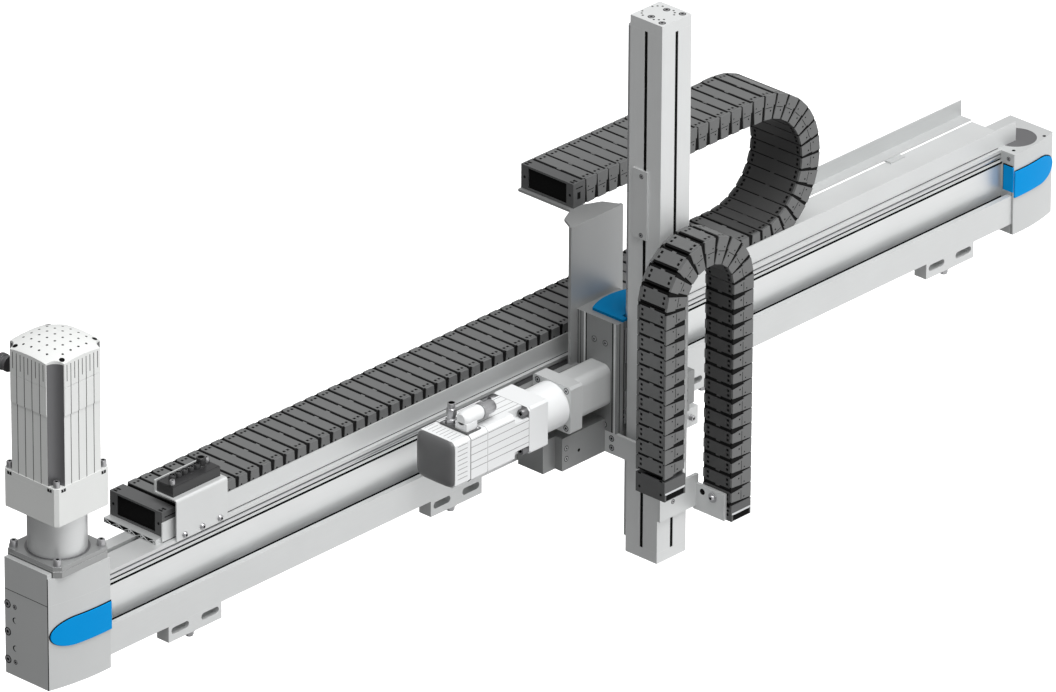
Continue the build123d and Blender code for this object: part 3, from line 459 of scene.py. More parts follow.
def chain_link(height, width, radius):
    """One link: its pin is at the origin, the next is a pitch along X, and +Z is the loop's outer side."""
    half = height / 2
    edge = width / 2
    trim = height * math.sin(bend_step(radius) / 2)
    front = PITCH + PLATE_OVERLAP
    link = Shape()

    def plate(outline, side, out, thickness, slot):
        depths = (-out, thickness - out)
        link.rings([[(x, side * (edge - depth), z) for x, z in outline] for depth in depths], (slot,))

    def stud(x, z, side):
        """A thin dark rectangle on the side plate, painted shade where a pin or a step shows."""
        plate([(x[0], z[0]), (x[0], z[1]), (x[1], z[1]), (x[1], z[0])], side, 0.05, 0.5, 1)

    shown_end = PITCH - 2.1
    shown = [(-0.8, half), (0.2, 2.6), (2.4, 2.6), (2.4, -0.6), (3.8, -half),
             (shown_end - trim / 2, -half), (shown_end, half)]
    tongue = 1.2
    hidden = [(shown_end - 1, half - 0.2), (shown_end - 1 - trim / 2, 0.2 - half), (front, 0.2 - half),
              (front, half - 0.2)]
    for side in (-1, 1):
        plate(shown, side, 0, PLATE, 0)
        # the hidden front of each plate is painted shadow (material 1), so the trimmed gaps show dark
        plate(hidden, side, -tongue, PLATE - tongue, 1)
        stud((4.6, 18.3), (-1.0, 0.0), side)
        stud((6.4, 8.8), (-6.6, -4.2), side)
        stud((14.6, 16.6), (4.4, 6.4), side)
    reach = edge - PLATE - 0.5
    bar_end = PITCH - 0.4
    inner_end = 19.6
    latch_bar(link, (3.6, bar_end), reach, (half - SKIN, half), 0)
    # the inner bars and tongue are painted shade (material 2), darker where the loop shades them
    latch_bar(link, (2.6, inner_end), reach, (-half, SKIN - half), 2)
    across = (-TONGUE_HALF, TONGUE_HALF)
    link.box((bar_end, PITCH + 1.6), across, (half - SKIN, half - 0.2))
    link.box((inner_end, 22.0), across, (-half + 0.2, SKIN - half), 2)

    def liner(x, gap):
        """One end of the tube inside the link, painted dark as shade."""
        across = edge - PLATE + 0.2 - gap
        up = half - SKIN - gap
        return [(x, -across, -up), (x, across, -up), (x, across, up), (x, -across, up)]

    end = PITCH + 3
    link.rings([liner(0.5, 0), liner(end, 0.3), liner(end, 1.0), liner(0.5, 0.7), liner(0.5, 0)], (1,),
               None, False, False)
    return link


def shrunk(link, inset, height, width):
    """The same link a little smaller, for one that hides inside another."""
    middle = PITCH / 2
    scale = Matrix.Diagonal((1 - 2 * inset / PITCH, 1 - 2 * inset / width, 1 - 2 * inset / height, 1))
    return link.moved(shift(middle, 0, 0) @ scale @ shift(-middle, 0, 0))


def row_of(link, start, along, outer, numbers):
    """Links at the numbered places of a straight run."""
    result = Shape()
    for number in numbers:
        result.add(link, axes(Vector(start) + Vector(along) * (number * PITCH), along, outer))
    return result


def loop_of(link, radius, along, outer):
    """The links round the half loop, with the one at each end that leads into a straight run."""
    step = bend_step(radius)
    count = math.floor(math.pi / step)
    first = (math.pi - count * step) / 2
    offset = radius * (1 - math.cos(first))
    behind = math.sqrt(PITCH ** 2 - offset ** 2) - radius * math.sin(first)
    along = Vector(along)
    outer = Vector(outer)
    pins = [outer * radius - along * behind]
    for number in range(count + 1):
        angle = first + number * step
        pins.append(outer * (radius * math.cos(angle)) + along * (radius * math.sin(angle)))
    pins.append(outer * -radius - along * behind)
    across = along.cross(outer)
    result = Shape()
    for start, end in zip(pins, pins[1:]):
        direction = (end - start).normalized()
        result.add(link, axes(start, direction, across.cross(direction)))
    return result, behind


def ride_between(shape, name):
    """A rigid piece that is baked in place and rides on no body."""
    item = shape.piece(name, CHAIN_LOOKS)
    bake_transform(item)


def ride_links(shape, name, body, replaced=(), looks=CHAIN_LOOKS):
    ride(shape, name, body, looks, replaced)


def ride_in_stages(name, link, size, run, places, second):
    """Links in stages, each a little smaller than the one before: the last stage rides on the second body
    and the others are baked in place.
    """
    for stage, numbers in enumerate(places, 1):
        links = row_of(shrunk(link, STAGE_INSET * stage, *size), *run, numbers)
        if stage == len(places):
            ride_links(links, f"{name}_{stage}", second)
        else:
            ride_between(links, f"{name}_{stage}")


def link_count(length):
    """How many links a straight run of that length holds."""
    return round((length - 2 * PLATE_OVERLAP) / PITCH)


def loop_travel(name):
    """A sliding joint's longest travel in millimetres."""
    joint = next(entry for entry in frame["joints"] if entry["name"] == name)
    return max(abs(limit) for limit in joint["range_m"]) / MM


def make_chain_a():
    """The large chain: still links on the beam, links that follow the loop, the loop and the upper run."""
    low, high = node_box("chain_a_lower_run")
    size = (high.z - low.z, high.y - low.y)
    _, y, z = node_middle("chain_a_lower_run")
    first_pin = low.x + PLATE_OVERLAP
    count = link_count(high.x - low.x)
    link = chain_link(*size, CHAIN_A_RADIUS)
    # the lower run's inner bars face up to the light, so they keep the plain grey in place of the painted
    # inner shade
    bright = [chain_grey, chain_gap_shade, chain_grey]
    travel = round(loop_travel("chain_a_slide") / PITCH)
    lower_run = ((first_pin, y, z), RIGHT, DOWN)
    still = row_of(link, *lower_run, range(count - travel))
    ride_links(still, "chain_a_lower_links", "beam", ["chain_a_lower_run"], bright)
    follow = row_of(shrunk(link, HIDDEN_INSET, *size), *lower_run, range(count - 2 * travel, count - travel))
    follow.add(row_of(shrunk(link, STAGE_INSET, *size), *lower_run, range(count - travel, count)))
    ride_links(follow, "chain_a_lower_following_links", "chain_a_loop", looks=bright)
    last_pin = first_pin + count * PITCH
    loop, behind = loop_of(link, CHAIN_A_RADIUS, RIGHT, DOWN)
    loop = loop.moved(shift(last_pin + behind, y, z + CHAIN_A_RADIUS))
    ride_links(loop, "chain_a_loop_links", "chain_a_loop", ["chain_a_loop"])

    upper_low, upper_high = node_box("chain_a_upper_run")
    upper_count = link_count(upper_high.x - upper_low.x)
    upper_run = ((last_pin - (upper_count - 1) * PITCH, y, z + 2 * CHAIN_A_RADIUS), LEFT, UP)
    ride_links(row_of(link, *upper_run, [0]), "chain_a_upper_link_0", "carriage", ["chain_a_upper_run"])
    pairs = [(1 - stage, -stage) for stage in range(1, travel + 1)]
    ride_in_stages("chain_a_upper_links", link, size, upper_run, pairs, "chain_a_loop")


def make_chain_b():
    """The small chain: its left leg hangs on the carriage and its right leg on the column."""
    left_low, left_high = node_box("chain_b_left_leg")
    right_low, right_high = node_box("chain_b_right_leg")
    size = (left_high.x - left_low.x, left_high.y - left_low.y)
    left_x, y, _ = node_middle("chain_b_left_leg")
    right_x = node_middle("chain_b_right_leg").x
    link = chain_link(*size, CHAIN_B_RADIUS)
    first_pin = left_low.z + PLATE_OVERLAP
    last_pin = first_pin + link_count(left_high.z - left_low.z) * PITCH
    left_leg = ((left_x, y, first_pin), UP, LEFT)
    ride_links(row_of(link, *left_leg, range(2)), "chain_b_left_link_0", "carriage", ["chain_b_left_leg"])
    stages = range(1, CHAIN_B_STAGES + 1)
    trios = [range(2 * stage - 1, 2 * stage + 2) for stage in stages]
    ride_in_stages("chain_b_left_links", link, size, left_leg, trios, "chain_b_loop")
    loop, behind = loop_of(link, CHAIN_B_RADIUS, UP, LEFT)
    loop = loop.moved(shift((left_x + right_x) / 2, y, last_pin + behind))
    ride_links(loop, "chain_b_loop_links", "chain_b_loop", ["chain_b_loop"])

    right_leg = ((right_x, y, last_pin), DOWN, RIGHT)
    still = range(CHAIN_B_STAGES, link_count(right_high.z - right_low.z))
    ride_links(row_of(link, *right_leg, still), "chain_b_right_links_0", "column", ["chain_b_right_leg"])
    for stage in stages:
        first = CHAIN_B_STAGES - stage
        trio = row_of(shrunk(link, STAGE_INSET * stage, *size), *right_leg, range(first, first + 3))
        ride_between(trio, f"chain_b_right_links_{stage}")


# Fasteners and holes: their steel is material 0 and their dark parts, painted shade in sockets and holes,
# material 1
def cap_screw(radius, height):
    """A socket cap screw's head on Z = 0."""
    socket = 0.5 * radius
    return Shape().turned([(radius, 0), (radius, 0.88 * height), (0.9 * radius, height),
                           (socket, height, HEX), (socket, 0.4 * height, HEX)], (0, 0, 0, 1))


def button_screw(radius, height):
    """A low domed head with a socket."""
    socket = 0.45 * radius
    return Shape().turned([(radius, 0), (0.96 * radius, 0.35 * height), (0.8 * radius, 0.75 * height),
                           (0.58 * radius, height), (socket, height, HEX), (socket, 0.3 * height, HEX)],
                          (0, 0, 0, 0, 1))


def sunk_screw(radius):
    """A screw in a counterbore: a steel head, with its rim and socket painted dark as shade."""
    lift = 0.12
    rim = 0.78 * radius
    socket = 0.4 * radius
    screw = Shape().turned([(radius, 0), (radius, lift), (rim, lift)], (1,), last=False)
    top = 3 * lift
    head = [(rim, lift), (0.7 * radius, top), (socket, top, HEX), (socket, lift, HEX)]
    return screw.turned(head, (0, 0, 1))


def washer_stack(radius, height):
    """A washer with a hexagon head on it."""
    washer = 0.25 * height
    head = 0.72 * radius
    stack = Shape().turned([(radius, 0), (radius, washer), (0.5 * radius, washer)], last=False)
    return stack.turned([(head, washer, HEX), (head, 0.9 * height, HEX), (0.8 * head, height),
                         (0.4 * head, height, HEX), (0.4 * head, 0.6 * height, HEX)], (0, 0, 0, 1))


def hole(radius):
    """A hole painted dark as shade, with a thin rim."""
    return Shape().turned([(radius, 0), (radius, LINE)], (1,))


def boss(radius):
    """A screw boss: a bright ring round a hole painted dark as shade."""
    inner = 0.5 * radius
    shape = Shape().turned([(radius, 0), (radius, 0.4), (inner, 0.4), (inner, 0.1)], last=False)
    return shape.turned([(inner, 0.1), (0.4 * radius, 0.1)], (1,))


def strips(target, half, places, low, high, wide, slot, place=Matrix()):
    """Thin lines along the four faces of a square post, standing a little proud."""
    for quarter in range(4):
        turn = place @ spin(90 * quarter)
        for spot in places:
            target.box((spot - wide / 2, spot + wide / 2), (-half - LINE, -half), (low, high), slot, turn)


def rim_of(name, spread, move):
    """A cover's own faces grown by spread and moved, for the painted shade in the gap round it."""
    item = frame["nodes"][name]
    low, high = node_box(name)
    middle = (low + high) / 2
    size = high - low
    points = []
    for corner in item.data.vertices:
        point = item.matrix_world @ corner.co / MM
        points.append([middle[i] + (point[i] - middle[i]) * (1 + 2 * spread[i] / size[i]) + move[i]
                       for i in range(3)])
    rim = Shape()
    rim.put(points, [list(polygon.vertices) for polygon in item.data.polygons])
    return rim


# Beam, heads and drive stack
def make_beam_lines():
    """Painted shade: dark lines in the gaps and along edges on the beam and on its two heads."""
    lines = Shape()
    beam_low, beam_high = node_box("beam_profile")
    band_low, band_high = node_box("cover_band")
    _, rails_high = node_box("guide_rails")
    trough_low, _ = node_box("cable_trough")
    along = (beam_low.x, beam_high.x)
    rail_foot = rails_high.z - 7
    lines.mark(FRONT, band_low.y, along, (band_low.z, band_low.z + 8.0))
    lines.mark(FRONT, band_low.y, along, (band_high.z - 3.4, band_high.z))
    lines.mark(FRONT, rails_high.y, along, (rail_foot, rails_high.z + 2.4))
    lines.box(along, (band_high.y, rails_high.y), (rail_foot, rail_foot + LINE))
    lines.mark(FRONT, trough_low.y, (trough_low.x, beam_high.x), (trough_low.z, trough_low.z + 1.0))
    head_low, _ = node_box("drive_housing")
    upper_low, upper_high = node_box("drive_upper_housing")
    end_low, end_high = node_box("end_housing")
    corner_y = beam_low.y + 8.5
    lines.box((head_low.x - LINE, head_low.x + 0.6), (corner_y - 0.5, corner_y + 0.5),
              (head_low.z, upper_high.z - 6))
    lines.mark(LEFT, head_low.x, (corner_y, 0), (upper_low.z - 0.4, upper_low.z + 0.4))
    lines.mark(LEFT, end_low.x, (end_low.y + 3, end_low.y + 4.0), (end_low.z, end_high.z - 40))
    lines.add(rim_of("drive_cover", (1.0, 0, 1.1), (0, 1.7, 0.4)))
    lines.add(rim_of("end_cover", (0, 0, 1.1), (0.8, 1.7, 0.4)))
    ride(lines, "beam_shadow_lines", "beam", [hollow_shade])


def make_support_end():
    """The chain support's cut end: painted shade in its hollows, slanted webs and screw bosses."""
    low, high = node_box("chain_support")
    face = Shape()
    face.mark(LEFT, low.x, (low.y + 1, high.y - 1), (low.z + 0.8, high.z - 0.8), 1)
    webs = 8
    lean = 26
    margin = 3
    step = (high.y - low.y - 2 * margin) / webs
    z = (low.z + high.z) / 2
    for number in range(webs + 1):
        y = low.y + margin + number * step
        if number % 2 == 0:
            face.add(boss(2.6), facing((low.x - LINE, y, z), LEFT))
        if number < webs:
            tilt = shift(low.x - 0.2, y + step / 2, z) @ spin(lean if number % 2 else -lean, "X")
            face.box((-0.2, 0.2), (-step / 2, step / 2), (-0.55, 0.55), 0, tilt)
    ride(face, "chain_support_end", "beam", [anodised_x, hollow_shade])


def crescent_hole():
    """A round hole that is half filled, so that a crescent of painted shade shows."""
    steps = 12
    outline = []
    for number in range(steps + 1):
        angle = math.radians(60 + 240 * number / steps)
        outline.append((4.4 * math.cos(angle), 4.4 * math.sin(angle)))
    for number in range(steps, -1, -1):
        angle = math.radians(78 + 204 * number / steps)
        outline.append((1.2 + 3.4 * math.cos(angle), 3.9 * math.sin(angle)))
    crescent = Shape()
    crescent.prism(outline, 0, LINE, 1)
    return crescent


def make_beam_fasteners():
    screws = Shape()
    head_low, head_high = node_box("drive_housing")
    end_screw_y = head_high.y - 4.7
    small_screw_y = head_high.y - 18.5
    crescent_y = head_high.y - 18.4
    screws.add_each(sunk_screw(6.0), [(head_low.x, end_screw_y, z) for z in (32.4, -8.6, -49.6)], LEFT)
    screws.add_each(sunk_screw(3.4), [(head_low.x, small_screw_y, z) for z in (32.0, -49.5)], LEFT)
    screws.add_each(crescent_hole(), [(head_low.x, crescent_y, z) for z in (11.9, -29.4)], LEFT)

    _, plate_high = node_box("gearbox_flange_x")
    flange_low, flange_high = node_box("motor_flange_x")
    stack = node_middle("gearbox_flange_x")
    for radius, reach, z in ((5.3, 40.5, plate_high.z), (4.6, 43.0, flange_high.z)):
        corners = [(stack.x + i * reach, stack.y + j * reach, z) for i, j in CORNERS]
        screws.add_each(cap_screw(radius, 9.0), corners, UP)
    window_z = (flange_low.z + 1.5, flange_high.z - 2.0)
    clip_z = (window_z[0] + 1.4, window_z[1])
    # dark windows in the flange's sides, painted shade in its openings, each with a steel clip
    for low, high in ((33, 41), (-41, -33)):
        for direction, face, middle in ((LEFT, flange_low.x, stack.y), (FRONT, flange_low.y, stack.x)):
            window = (middle + low, middle + high)
            clip = (middle + low + 3, middle + low + 4.4)
            screws.mark(direction, face, window, window_z, 1, thick=0.1)
            screws.mark(direction, face, clip, clip_z, 0, thick=0.3)

    bracket_low, bracket_high = node_box("mount_brackets")
    brackets = 4
    bracket_half = 50
    spacing = (bracket_high.x - bracket_low.x - 2 * bracket_half) / (brackets - 1)
    y = node_middle("mount_brackets").y
    first_x = bracket_low.x + bracket_half
    bolts = [(first_x + number * spacing, y, bracket_low.z) for number in range(brackets)]
    screws.add_each(washer_stack(8.5, 11.0), bolts, DOWN, RIGHT)

    sheet_low, _ = node_box("distributor_sheet")
    sheet_screws = [(x, sheet_low.y, 57.0) for x in (-736.9, -703.8, -670.3)]
    screws.add_each(button_screw(4.6, 3.4), sheet_screws, FRONT)

    end_low, end_high = node_box("end_housing")
    screws.add_each(hole(2.6), [(x, -80.1, end_high.z) for x in (910.6, 976.1)], UP)
    screws.add_each(sunk_screw(3.2), [(end_low.x, end_low.y + 11, 44.5)], LEFT)
    ride(screws, "beam_fasteners", "beam", FASTENER_LOOKS)

    disc = Shape().turned([(30.5, 0), (30.5, 0.3), (29.5, 0.3), (29.5, 0.1)], sides=64)
    ride(disc.moved(shift(944.5, -53.5, end_high.z)), "end_shaft_cover", "beam", [grey_metal_and_channel_shade])
    # a thin dark ring painted as the shadow round the gearbox's base
    base_shadow = Shape().turned([(43.5, 0), (43.5, 0.4), (40.2, 0.4)], last=False, sides=72)
    base_shadow = base_shadow.moved(shift(stack.x, stack.y, plate_high.z))
    ride(base_shadow, "gearbox_base_painted_shadow", "beam", [dark_steel_and_shade])


MOTOR_CORNER = 17.0
MOTOR_FALL = 7.5
MOTOR_ARC = 7
CAP_ARC = 8


def motor_outline(width, nominal):
    """A square with concave corners round the nominal square's corners, as (x, y) points going round."""
    half = width / 2
    centre = nominal / 2
    points = []
    for number in range(MOTOR_ARC + 1):
        angle = math.radians(180 - 90 * number / MOTOR_ARC)
        points.append((min(half, centre + MOTOR_CORNER * math.cos(angle)),
                       max(-half, MOTOR_CORNER * math.sin(angle) - centre)))
    return four_sides(points)


def make_motor_shell(low, high, skirt):
    """The ribbed body: four stepped sections, with long grooves, short slots and corner channels painted
    dark as shade.
    """
    width = high.x - low.x
    half = width / 2
    step = low.z + 102
    seam = low.z + 143
    seam_half = 0.4
    dash_low = high.z - 36.5
    dash_high = high.z - 12.5
    line_width = 1.2
    body = Shape()
    sections = [(low.z, step, width - 2), (step, seam - seam_half, width),
                (seam - seam_half, seam + seam_half, width - 1), (seam + seam_half, skirt, width)]
    for bottom, top, wide in sections:
        body.prism(motor_outline(wide, width), bottom, top)
    grooves = [-21, -7, 7, 21]
    strips(body, half - 1, grooves, low.z, step, line_width, 1)
    strips(body, half, grooves, step, dash_high, line_width, 1)
    strips(body, half, [-28, -14, 0, 14, 28], dash_low, dash_high, line_width, 1)
    # corner channels painted dark as shade (material 2)
    channel = []
    for reach, numbers in ((MOTOR_CORNER - 0.2, range(9)), (MOTOR_CORNER + 0.6, range(8, -1, -1))):
        for number in numbers:
            angle = math.radians(176 - 82 * number / 8)
            channel.append((half + reach * math.cos(angle), reach * math.sin(angle) - half))
    for quarter in range(4):
        body.prism(channel, low.z, skirt, 2, spin(90 * quarter))
    return body


def make_motor_cap(half, skirt, top):
    """The crowned cap with its perforation and four corner holes."""

    def crown(x, y):
        return top - MOTOR_FALL * (abs(x / half) ** 2.5 + abs(y / half) ** 2.5)

    def bore(radius, x, y, lift):
        slope_x = (crown(x + 1, y) - crown(x - 1, y)) / 2
        slope_y = (crown(x, y + 1) - crown(x, y - 1)) / 2
        cap.add(hole(radius), facing((x, y, crown(x, y) + lift), (-slope_x, -slope_y, 1), BACK))

    points = [(x, -half) for x in (-24, -12, 0, 12, 24)]
    for number in range(CAP_ARC + 1):
        angle = math.radians(180 - 90 * number / CAP_ARC)
        points.append((half + MOTOR_CORNER * math.cos(angle), MOTOR_CORNER * math.sin(angle) - half))
    outline = four_sides(points)
    rows = [[(x, y, skirt) for x, y in outline]]
    steps = 14
    for number in range(steps):
        share = 1 - number / steps
        rows.append([(share * x, share * y, crown(share * x, share * y)) for x, y in outline])
    cap = Shape()
    cap.rings(rows)
    count = 6
    spacing = 14.4
    ends = (0, count - 1)
    for i in range(count):
        for j in range(count):
            if not (i in ends and j in ends):
                bore(1.7, (i - 2.5) * spacing, (j - 2.5) * spacing, -0.03)
    for x, y in four_sides([(-30, -43)]):
        bore(3.8, x, y, 0.1)
    return cap


def make_motor_x():
    low, high = node_box("motor_x_body")
    centre = (low + high) / 2
    skirt = high.z - 12
    place = shift(centre.x, centre.y, 0)
    ride(make_motor_shell(low, high, skirt).moved(place), "motor_x_shell", "beam",
         [motor_grey, groove_shade, grey_metal_and_channel_shade], ["motor_x_body"])
    _, cap_high = node_box("motor_x_cap")
    cap = make_motor_cap((high.x - low.x) / 2, skirt, cap_high.z - 11)
    ride(cap.moved(place), "motor_x_dome", "beam", [motor_grey, hollow_shade], ["motor_x_cap"])

    plug_low, plug_high = node_box("motor_x_plug")
    radius = (plug_high.x - plug_low.x) / 2
    length = plug_high.y - plug_low.y
    profile = [(1, 0), (1, 0.15), (0.86, 0.18), (0.86, 0.4), (1, 0.45), (1, 0.85), (0.85, 1), (0.6, 1),
               (0.6, 0.7)]
    profile = [(wide * radius, far * length) for wide, far in profile]
    plug = Shape().turned(profile, (0,) * 7 + (1,), first=True)
    plug.ribs(18, (radius - 0.4, radius + 0.5), 0.8, (0.48 * length, 0.82 * length))
    middle = (plug_low + plug_high) / 2
    ride(plug.moved(facing((middle.x, plug_low.y, middle.z), BACK)), "motor_x_connector", "beam",
         [dark_steel_and_shade, hollow_shade], ["motor_x_plug"])


def make_distributor():
    """The plug box: its two screws, a row of sockets with pins and one tall plug."""
    low, high = node_box("distributor_box")
    level = high.z - 7
    ledge = 9.0
    body = Shape()
    body.box((low.x, high.x), (low.y, high.y), (low.z, level - 1))
    body.box((low.x + 1, high.x - 1), (low.y + 1, high.y), (level - 1, level))
    seat = 1.5
    screw = cap_screw(3.6, 6.0).recoloured(2, 1)
    for x, y in ((low.x + 5, low.y + 6), (high.x - 5, high.y - 9)):
        body.turned([(5.0, level), (5.0, level + seat)], place=shift(x, y, 0), first=True)
        body.add(screw, shift(x, y, level + seat))
    # each socket's inside is painted shade (material 1)
    socket = Shape().turned([(4.9, 0), (4.9, 6.0), (4.3, 7.0), (3.5, 7.0), (3.5, 3.0)], (0, 0, 0, 1))
    for pin in range(4):
        turn = math.radians(45 + 90 * pin)
        socket.turned([(0.6, 3.0), (0.6, 6.2)], (2,), shift(1.7 * math.cos(turn), 1.7 * math.sin(turn), 0),
                      first=True, sides=8)
    y = (low.y + 4 + high.y) / 2
    sockets = 5
    spacing = 11.5
    for number in range(sockets):
        body.add(socket, shift(low.x + ledge + 7 + number * spacing, y, level))
    tall = Shape().turned([(6.4, 0), (6.4, 2), (5.6, 2.5), (5.6, 9), (6.3, 10), (6.3, 13.5), (5.6, 14),
                           (4.2, 14), (4.2, 11)], (0,) * 7 + (1,))
    tall.ribs(16, (5.4, 6.2), 0.6, (3.5, 8.6))
    body.add(tall, shift(high.x - ledge - 10, y, level))
    ride(body, "distributor_block", "beam", [black_plastic, hollow_shade, screw_steel],
         ["distributor_box", "distributor_sockets"])


# Carriage, vertical head and its drive
SERVO_CHAMFER = 5
SERVO_LINE = 0.9


def servo_outline(width, notch=0):
    """A square with chamfered corners or, if asked, with a square notch at each corner."""
    half = width / 2
    if notch:
        return four_sides([(half - notch, -half), (half - notch, notch - half), (half, notch - half)])
    return four_sides([(half - SERVO_CHAMFER, -half), (half, SERVO_CHAMFER - half)])


def make_servo_body(low, high, axis):
    centre = (low + high) / 2
    width = high.y - low.y
    half = width / 2
    seam = low.x + 33
    notch_low = high.x - 31
    notch_high = high.x - 3
    notch = 14
    body = Shape()
    body.prism(servo_outline(width), low.x, notch_low, 0, axis)
    body.prism(servo_outline(width, notch), notch_low, notch_high, 0, axis)
    body.prism(servo_outline(width), notch_high, high.x, 0, axis)
    lines = [-27.4, -17.3, -6.0, 5.3, 15.3]
    # grooves along the body painted as shade lines (material 1)
    strips(body, half, lines, low.x + 1, seam - 1, SERVO_LINE, 1, axis)
    strips(body, half, lines, seam + 1, notch_low, SERVO_LINE, 1, axis)
    strips(body, half, lines[1:], notch_low, notch_high, SERVO_LINE, 1, axis)
    # seams painted as shade lines
    for place in (low.x + 0.3, seam, notch_high):
        body.prism(servo_outline(width + 2 * LINE), place - 0.3, place + 0.3, 1, axis)
    # dark plates on the notch floors: painted shade
    for i, j in CORNERS:
        pocket = sorted((i * (half - notch), i * (half - 2)))
        other = sorted((j * (half - notch), j * (half - 2)))
        body.box(pocket, other, (notch_low - LINE, notch_low), 2, axis)
    reach = half - 7
    screws = [(notch_high, centre.y + i * reach, centre.z + j * reach) for i, j in CORNERS]
    body.add_each(cap_screw(6.2, 10.0).recoloured(2, 3), screws, LEFT)
    ride(body, "servo_body", "carriage", [servo_white, line_shade, dark_steel_and_shade, hollow_shade],
         ["motor_z_body"])


def make_servo_rear(low, high, axis, centre, width):
    """The rear section with its dashes painted as shade and the dark rounded end."""
    half = width / 2 - 0.5
    dome_x = low.x + 8
    rear = Shape()
    rear.prism(servo_outline(width - 1), dome_x, high.x, 0, axis)
    strips(rear, half, range(-27, 23, 7), dome_x + 5, high.x - 6, SERVO_LINE, 4, axis)
    count = 32
    roundness = 0.32
    profile = ((1.0, 0.0), (1.0, 0.8), (0.98, 2.4), (0.9, 4.6), (0.72, 6.9), (0.45, 8.4), (0.18, 9.0))
    rows = []
    for share, depth in profile:
        row = []
        for number in range(count):
            angle = 2 * math.pi * number / count
            row.append([math.copysign(abs(part) ** roundness, part) * half * share
                        for part in (math.cos(angle), math.sin(angle))] + [-depth])
        rows.append(row)
    dome = Shape()
    dome.rings(rows, (1,))
    rear.add(dome, shift(dome_x, 0, 0) @ axis)
    screws = [(dome_x - 3.0, centre.y + i * 26, centre.z + j * 26) for i, j in CORNERS]
    rear.add_each(sunk_screw(3.4).recoloured(2, 3), screws, LEFT)
    ride(rear, "servo_rear", "carriage", [servo_white, dome_grey, dark_steel_and_shade, hollow_shade, line_shade],
         ["motor_z_rear"])


def make_servo_plugs(start_x, centre):
    """A base plate with a straight plug and an elbow plug."""
    low, high = node_box("motor_z_plugs")
    plugs = Shape()
    base_x = start_x + 11
    plate = low.z + 2.2
    plugs.box((base_x - 13, base_x + 14), (centre.y - 30, centre.y + 21), (low.z, plate), 1)
    plugs.add_each(button_screw(2.6, 1.8).recoloured(3, 2), [(base_x - 9, centre.y + 17, plate),
                                                             (base_x + 10, centre.y - 27, plate)], UP)
    straight = [(8.5, 0, HEX), (8.5, 6, HEX), (6.2, 7), (6.2, 11), (7.4, 12, HEX), (7.4, 21, HEX), (5.6, 22),
                (5.6, 29), (4.4, 29.5), (4.4, 26)]
    plugs.turned(straight, (3,) * 8 + (2,), shift(start_x + 9, centre.y + 9.5, plate))
    elbow_y = centre.y - 16
    half = 10.5
    plugs.box((base_x - half, base_x + half), (elbow_y - half, elbow_y + half), (plate, low.z + 13), 0)
    start = base_x - half
    nut = start + 36.5
    end = high.x
    arm = Shape().turned([(7.5, start), (9.6, start + 2.5), (half, start + 6), (half, start + 34),
                          (9.0, start + 34.5), (9.0, nut)], first=True, last=False)
    arm.turned([(9.0, nut), (10.8, start + 37), (10.8, start + 45), (9.6, start + 46), (9.6, end - 4),
                (8.6, end), (6.6, end), (6.6, end - 8)], (3,) * 6 + (2,))
    arm.ribs(20, (10.6, 11.3), 0.7, (start + 37.6, start + 44.4), 3)
    plugs.add(arm, facing((0, elbow_y, low.z + 17.5), RIGHT))
    ride(plugs, "servo_plugs", "carriage", [servo_white, grey_plastic, hollow_shade, screw_steel],
         ["motor_z_plugs"])


def make_servo():
    low, high = node_box("motor_z_body")
    centre = (low + high) / 2
    axis = axes((0, centre.y, centre.z), UP, RIGHT)
    make_servo_body(low, high, axis)
    make_servo_rear(*node_box("motor_z_rear"), axis, centre, high.y - low.y)
    make_servo_plugs(low.x, centre)


def make_carriage_details():
    screws = Shape()
    head_low, head_high = node_box("z_head_housing")
    head_screws = [(head_low.x, y, z) for y in (-128.4, -148.6) for z in (105, -17.6)]
    screws.add_each(sunk_screw(4.4), head_screws, LEFT)
    flange_low, _ = node_box("coupling_housing_z")
    centre = node_middle("coupling_housing_z")
    flange_screws = [(flange_low.x, centre.y + i * 26.5, centre.z + j * 28) for i, j in CORNERS]
    screws.add_each(sunk_screw(4.6), flange_screws, LEFT)
    adapter_low, adapter_high = node_box("carriage_adapters")
    adapter_screws = [(x, adapter_low.y, z) for x in (-84.8, adapter_high.x - 8.2) for z in (-26.0, -41.8)]
    screws.add_each(sunk_screw(4.0), adapter_screws[:2], FRONT)
    screws.add_each(hole(2.4), [(-60, adapter_low.y, -37.5)], FRONT)
    screws.add_each(sunk_screw(4.0), adapter_screws[2:], FRONT)
    holder_low, _ = node_box("chain_b_holder")
    screws.add_each(sunk_screw(4.6), [(holder_low.x, -161.9, -34.8), (holder_low.x, -162.1, -48.7)], LEFT)
    hook_low, hook_high = node_box("switch_bracket")
    hook_x = node_middle("switch_bracket").x
    screws.add_each(cap_screw(4.2, 6.0), [(hook_x, hook_low.y, hook_high.z - 14)], FRONT)
    _, arm_high = node_box("chain_a_bracket")
    arm_x = node_middle("chain_a_bracket").x + 8
    screws.add_each(button_screw(3.4, 1.6), [(arm_x, y, arm_high.z) for y in (-20, 8)], UP)
    ride(screws, "carriage_fasteners", "carriage", FASTENER_LOOKS)

    # grooves on the vertical head painted as shade
    grooves = Shape()
    depth = 0.12
    full = (head_low.z, head_high.z)
    for y, half in ((-113.8, 0.8), (-162.2, 0.8), (-103.5, 0.4), (-98.8, 0.4)):
        grooves.mark(LEFT, head_low.x, (y - half, y + half), full, thick=depth)
    for y in (-166.5, -110.8):
        grooves.mark(LEFT, head_low.x, (y - 1.2, y + 1.2), full, 1, thick=0.5)
    for x in (head_low.x + 6, head_low.x + 14):
        grooves.mark(FRONT, head_low.y, (x - 0.6, x + 0.6), full, thick=depth)
    ride(grooves, "z_head_grooves", "carriage", [hollow_shade, anodised_z])


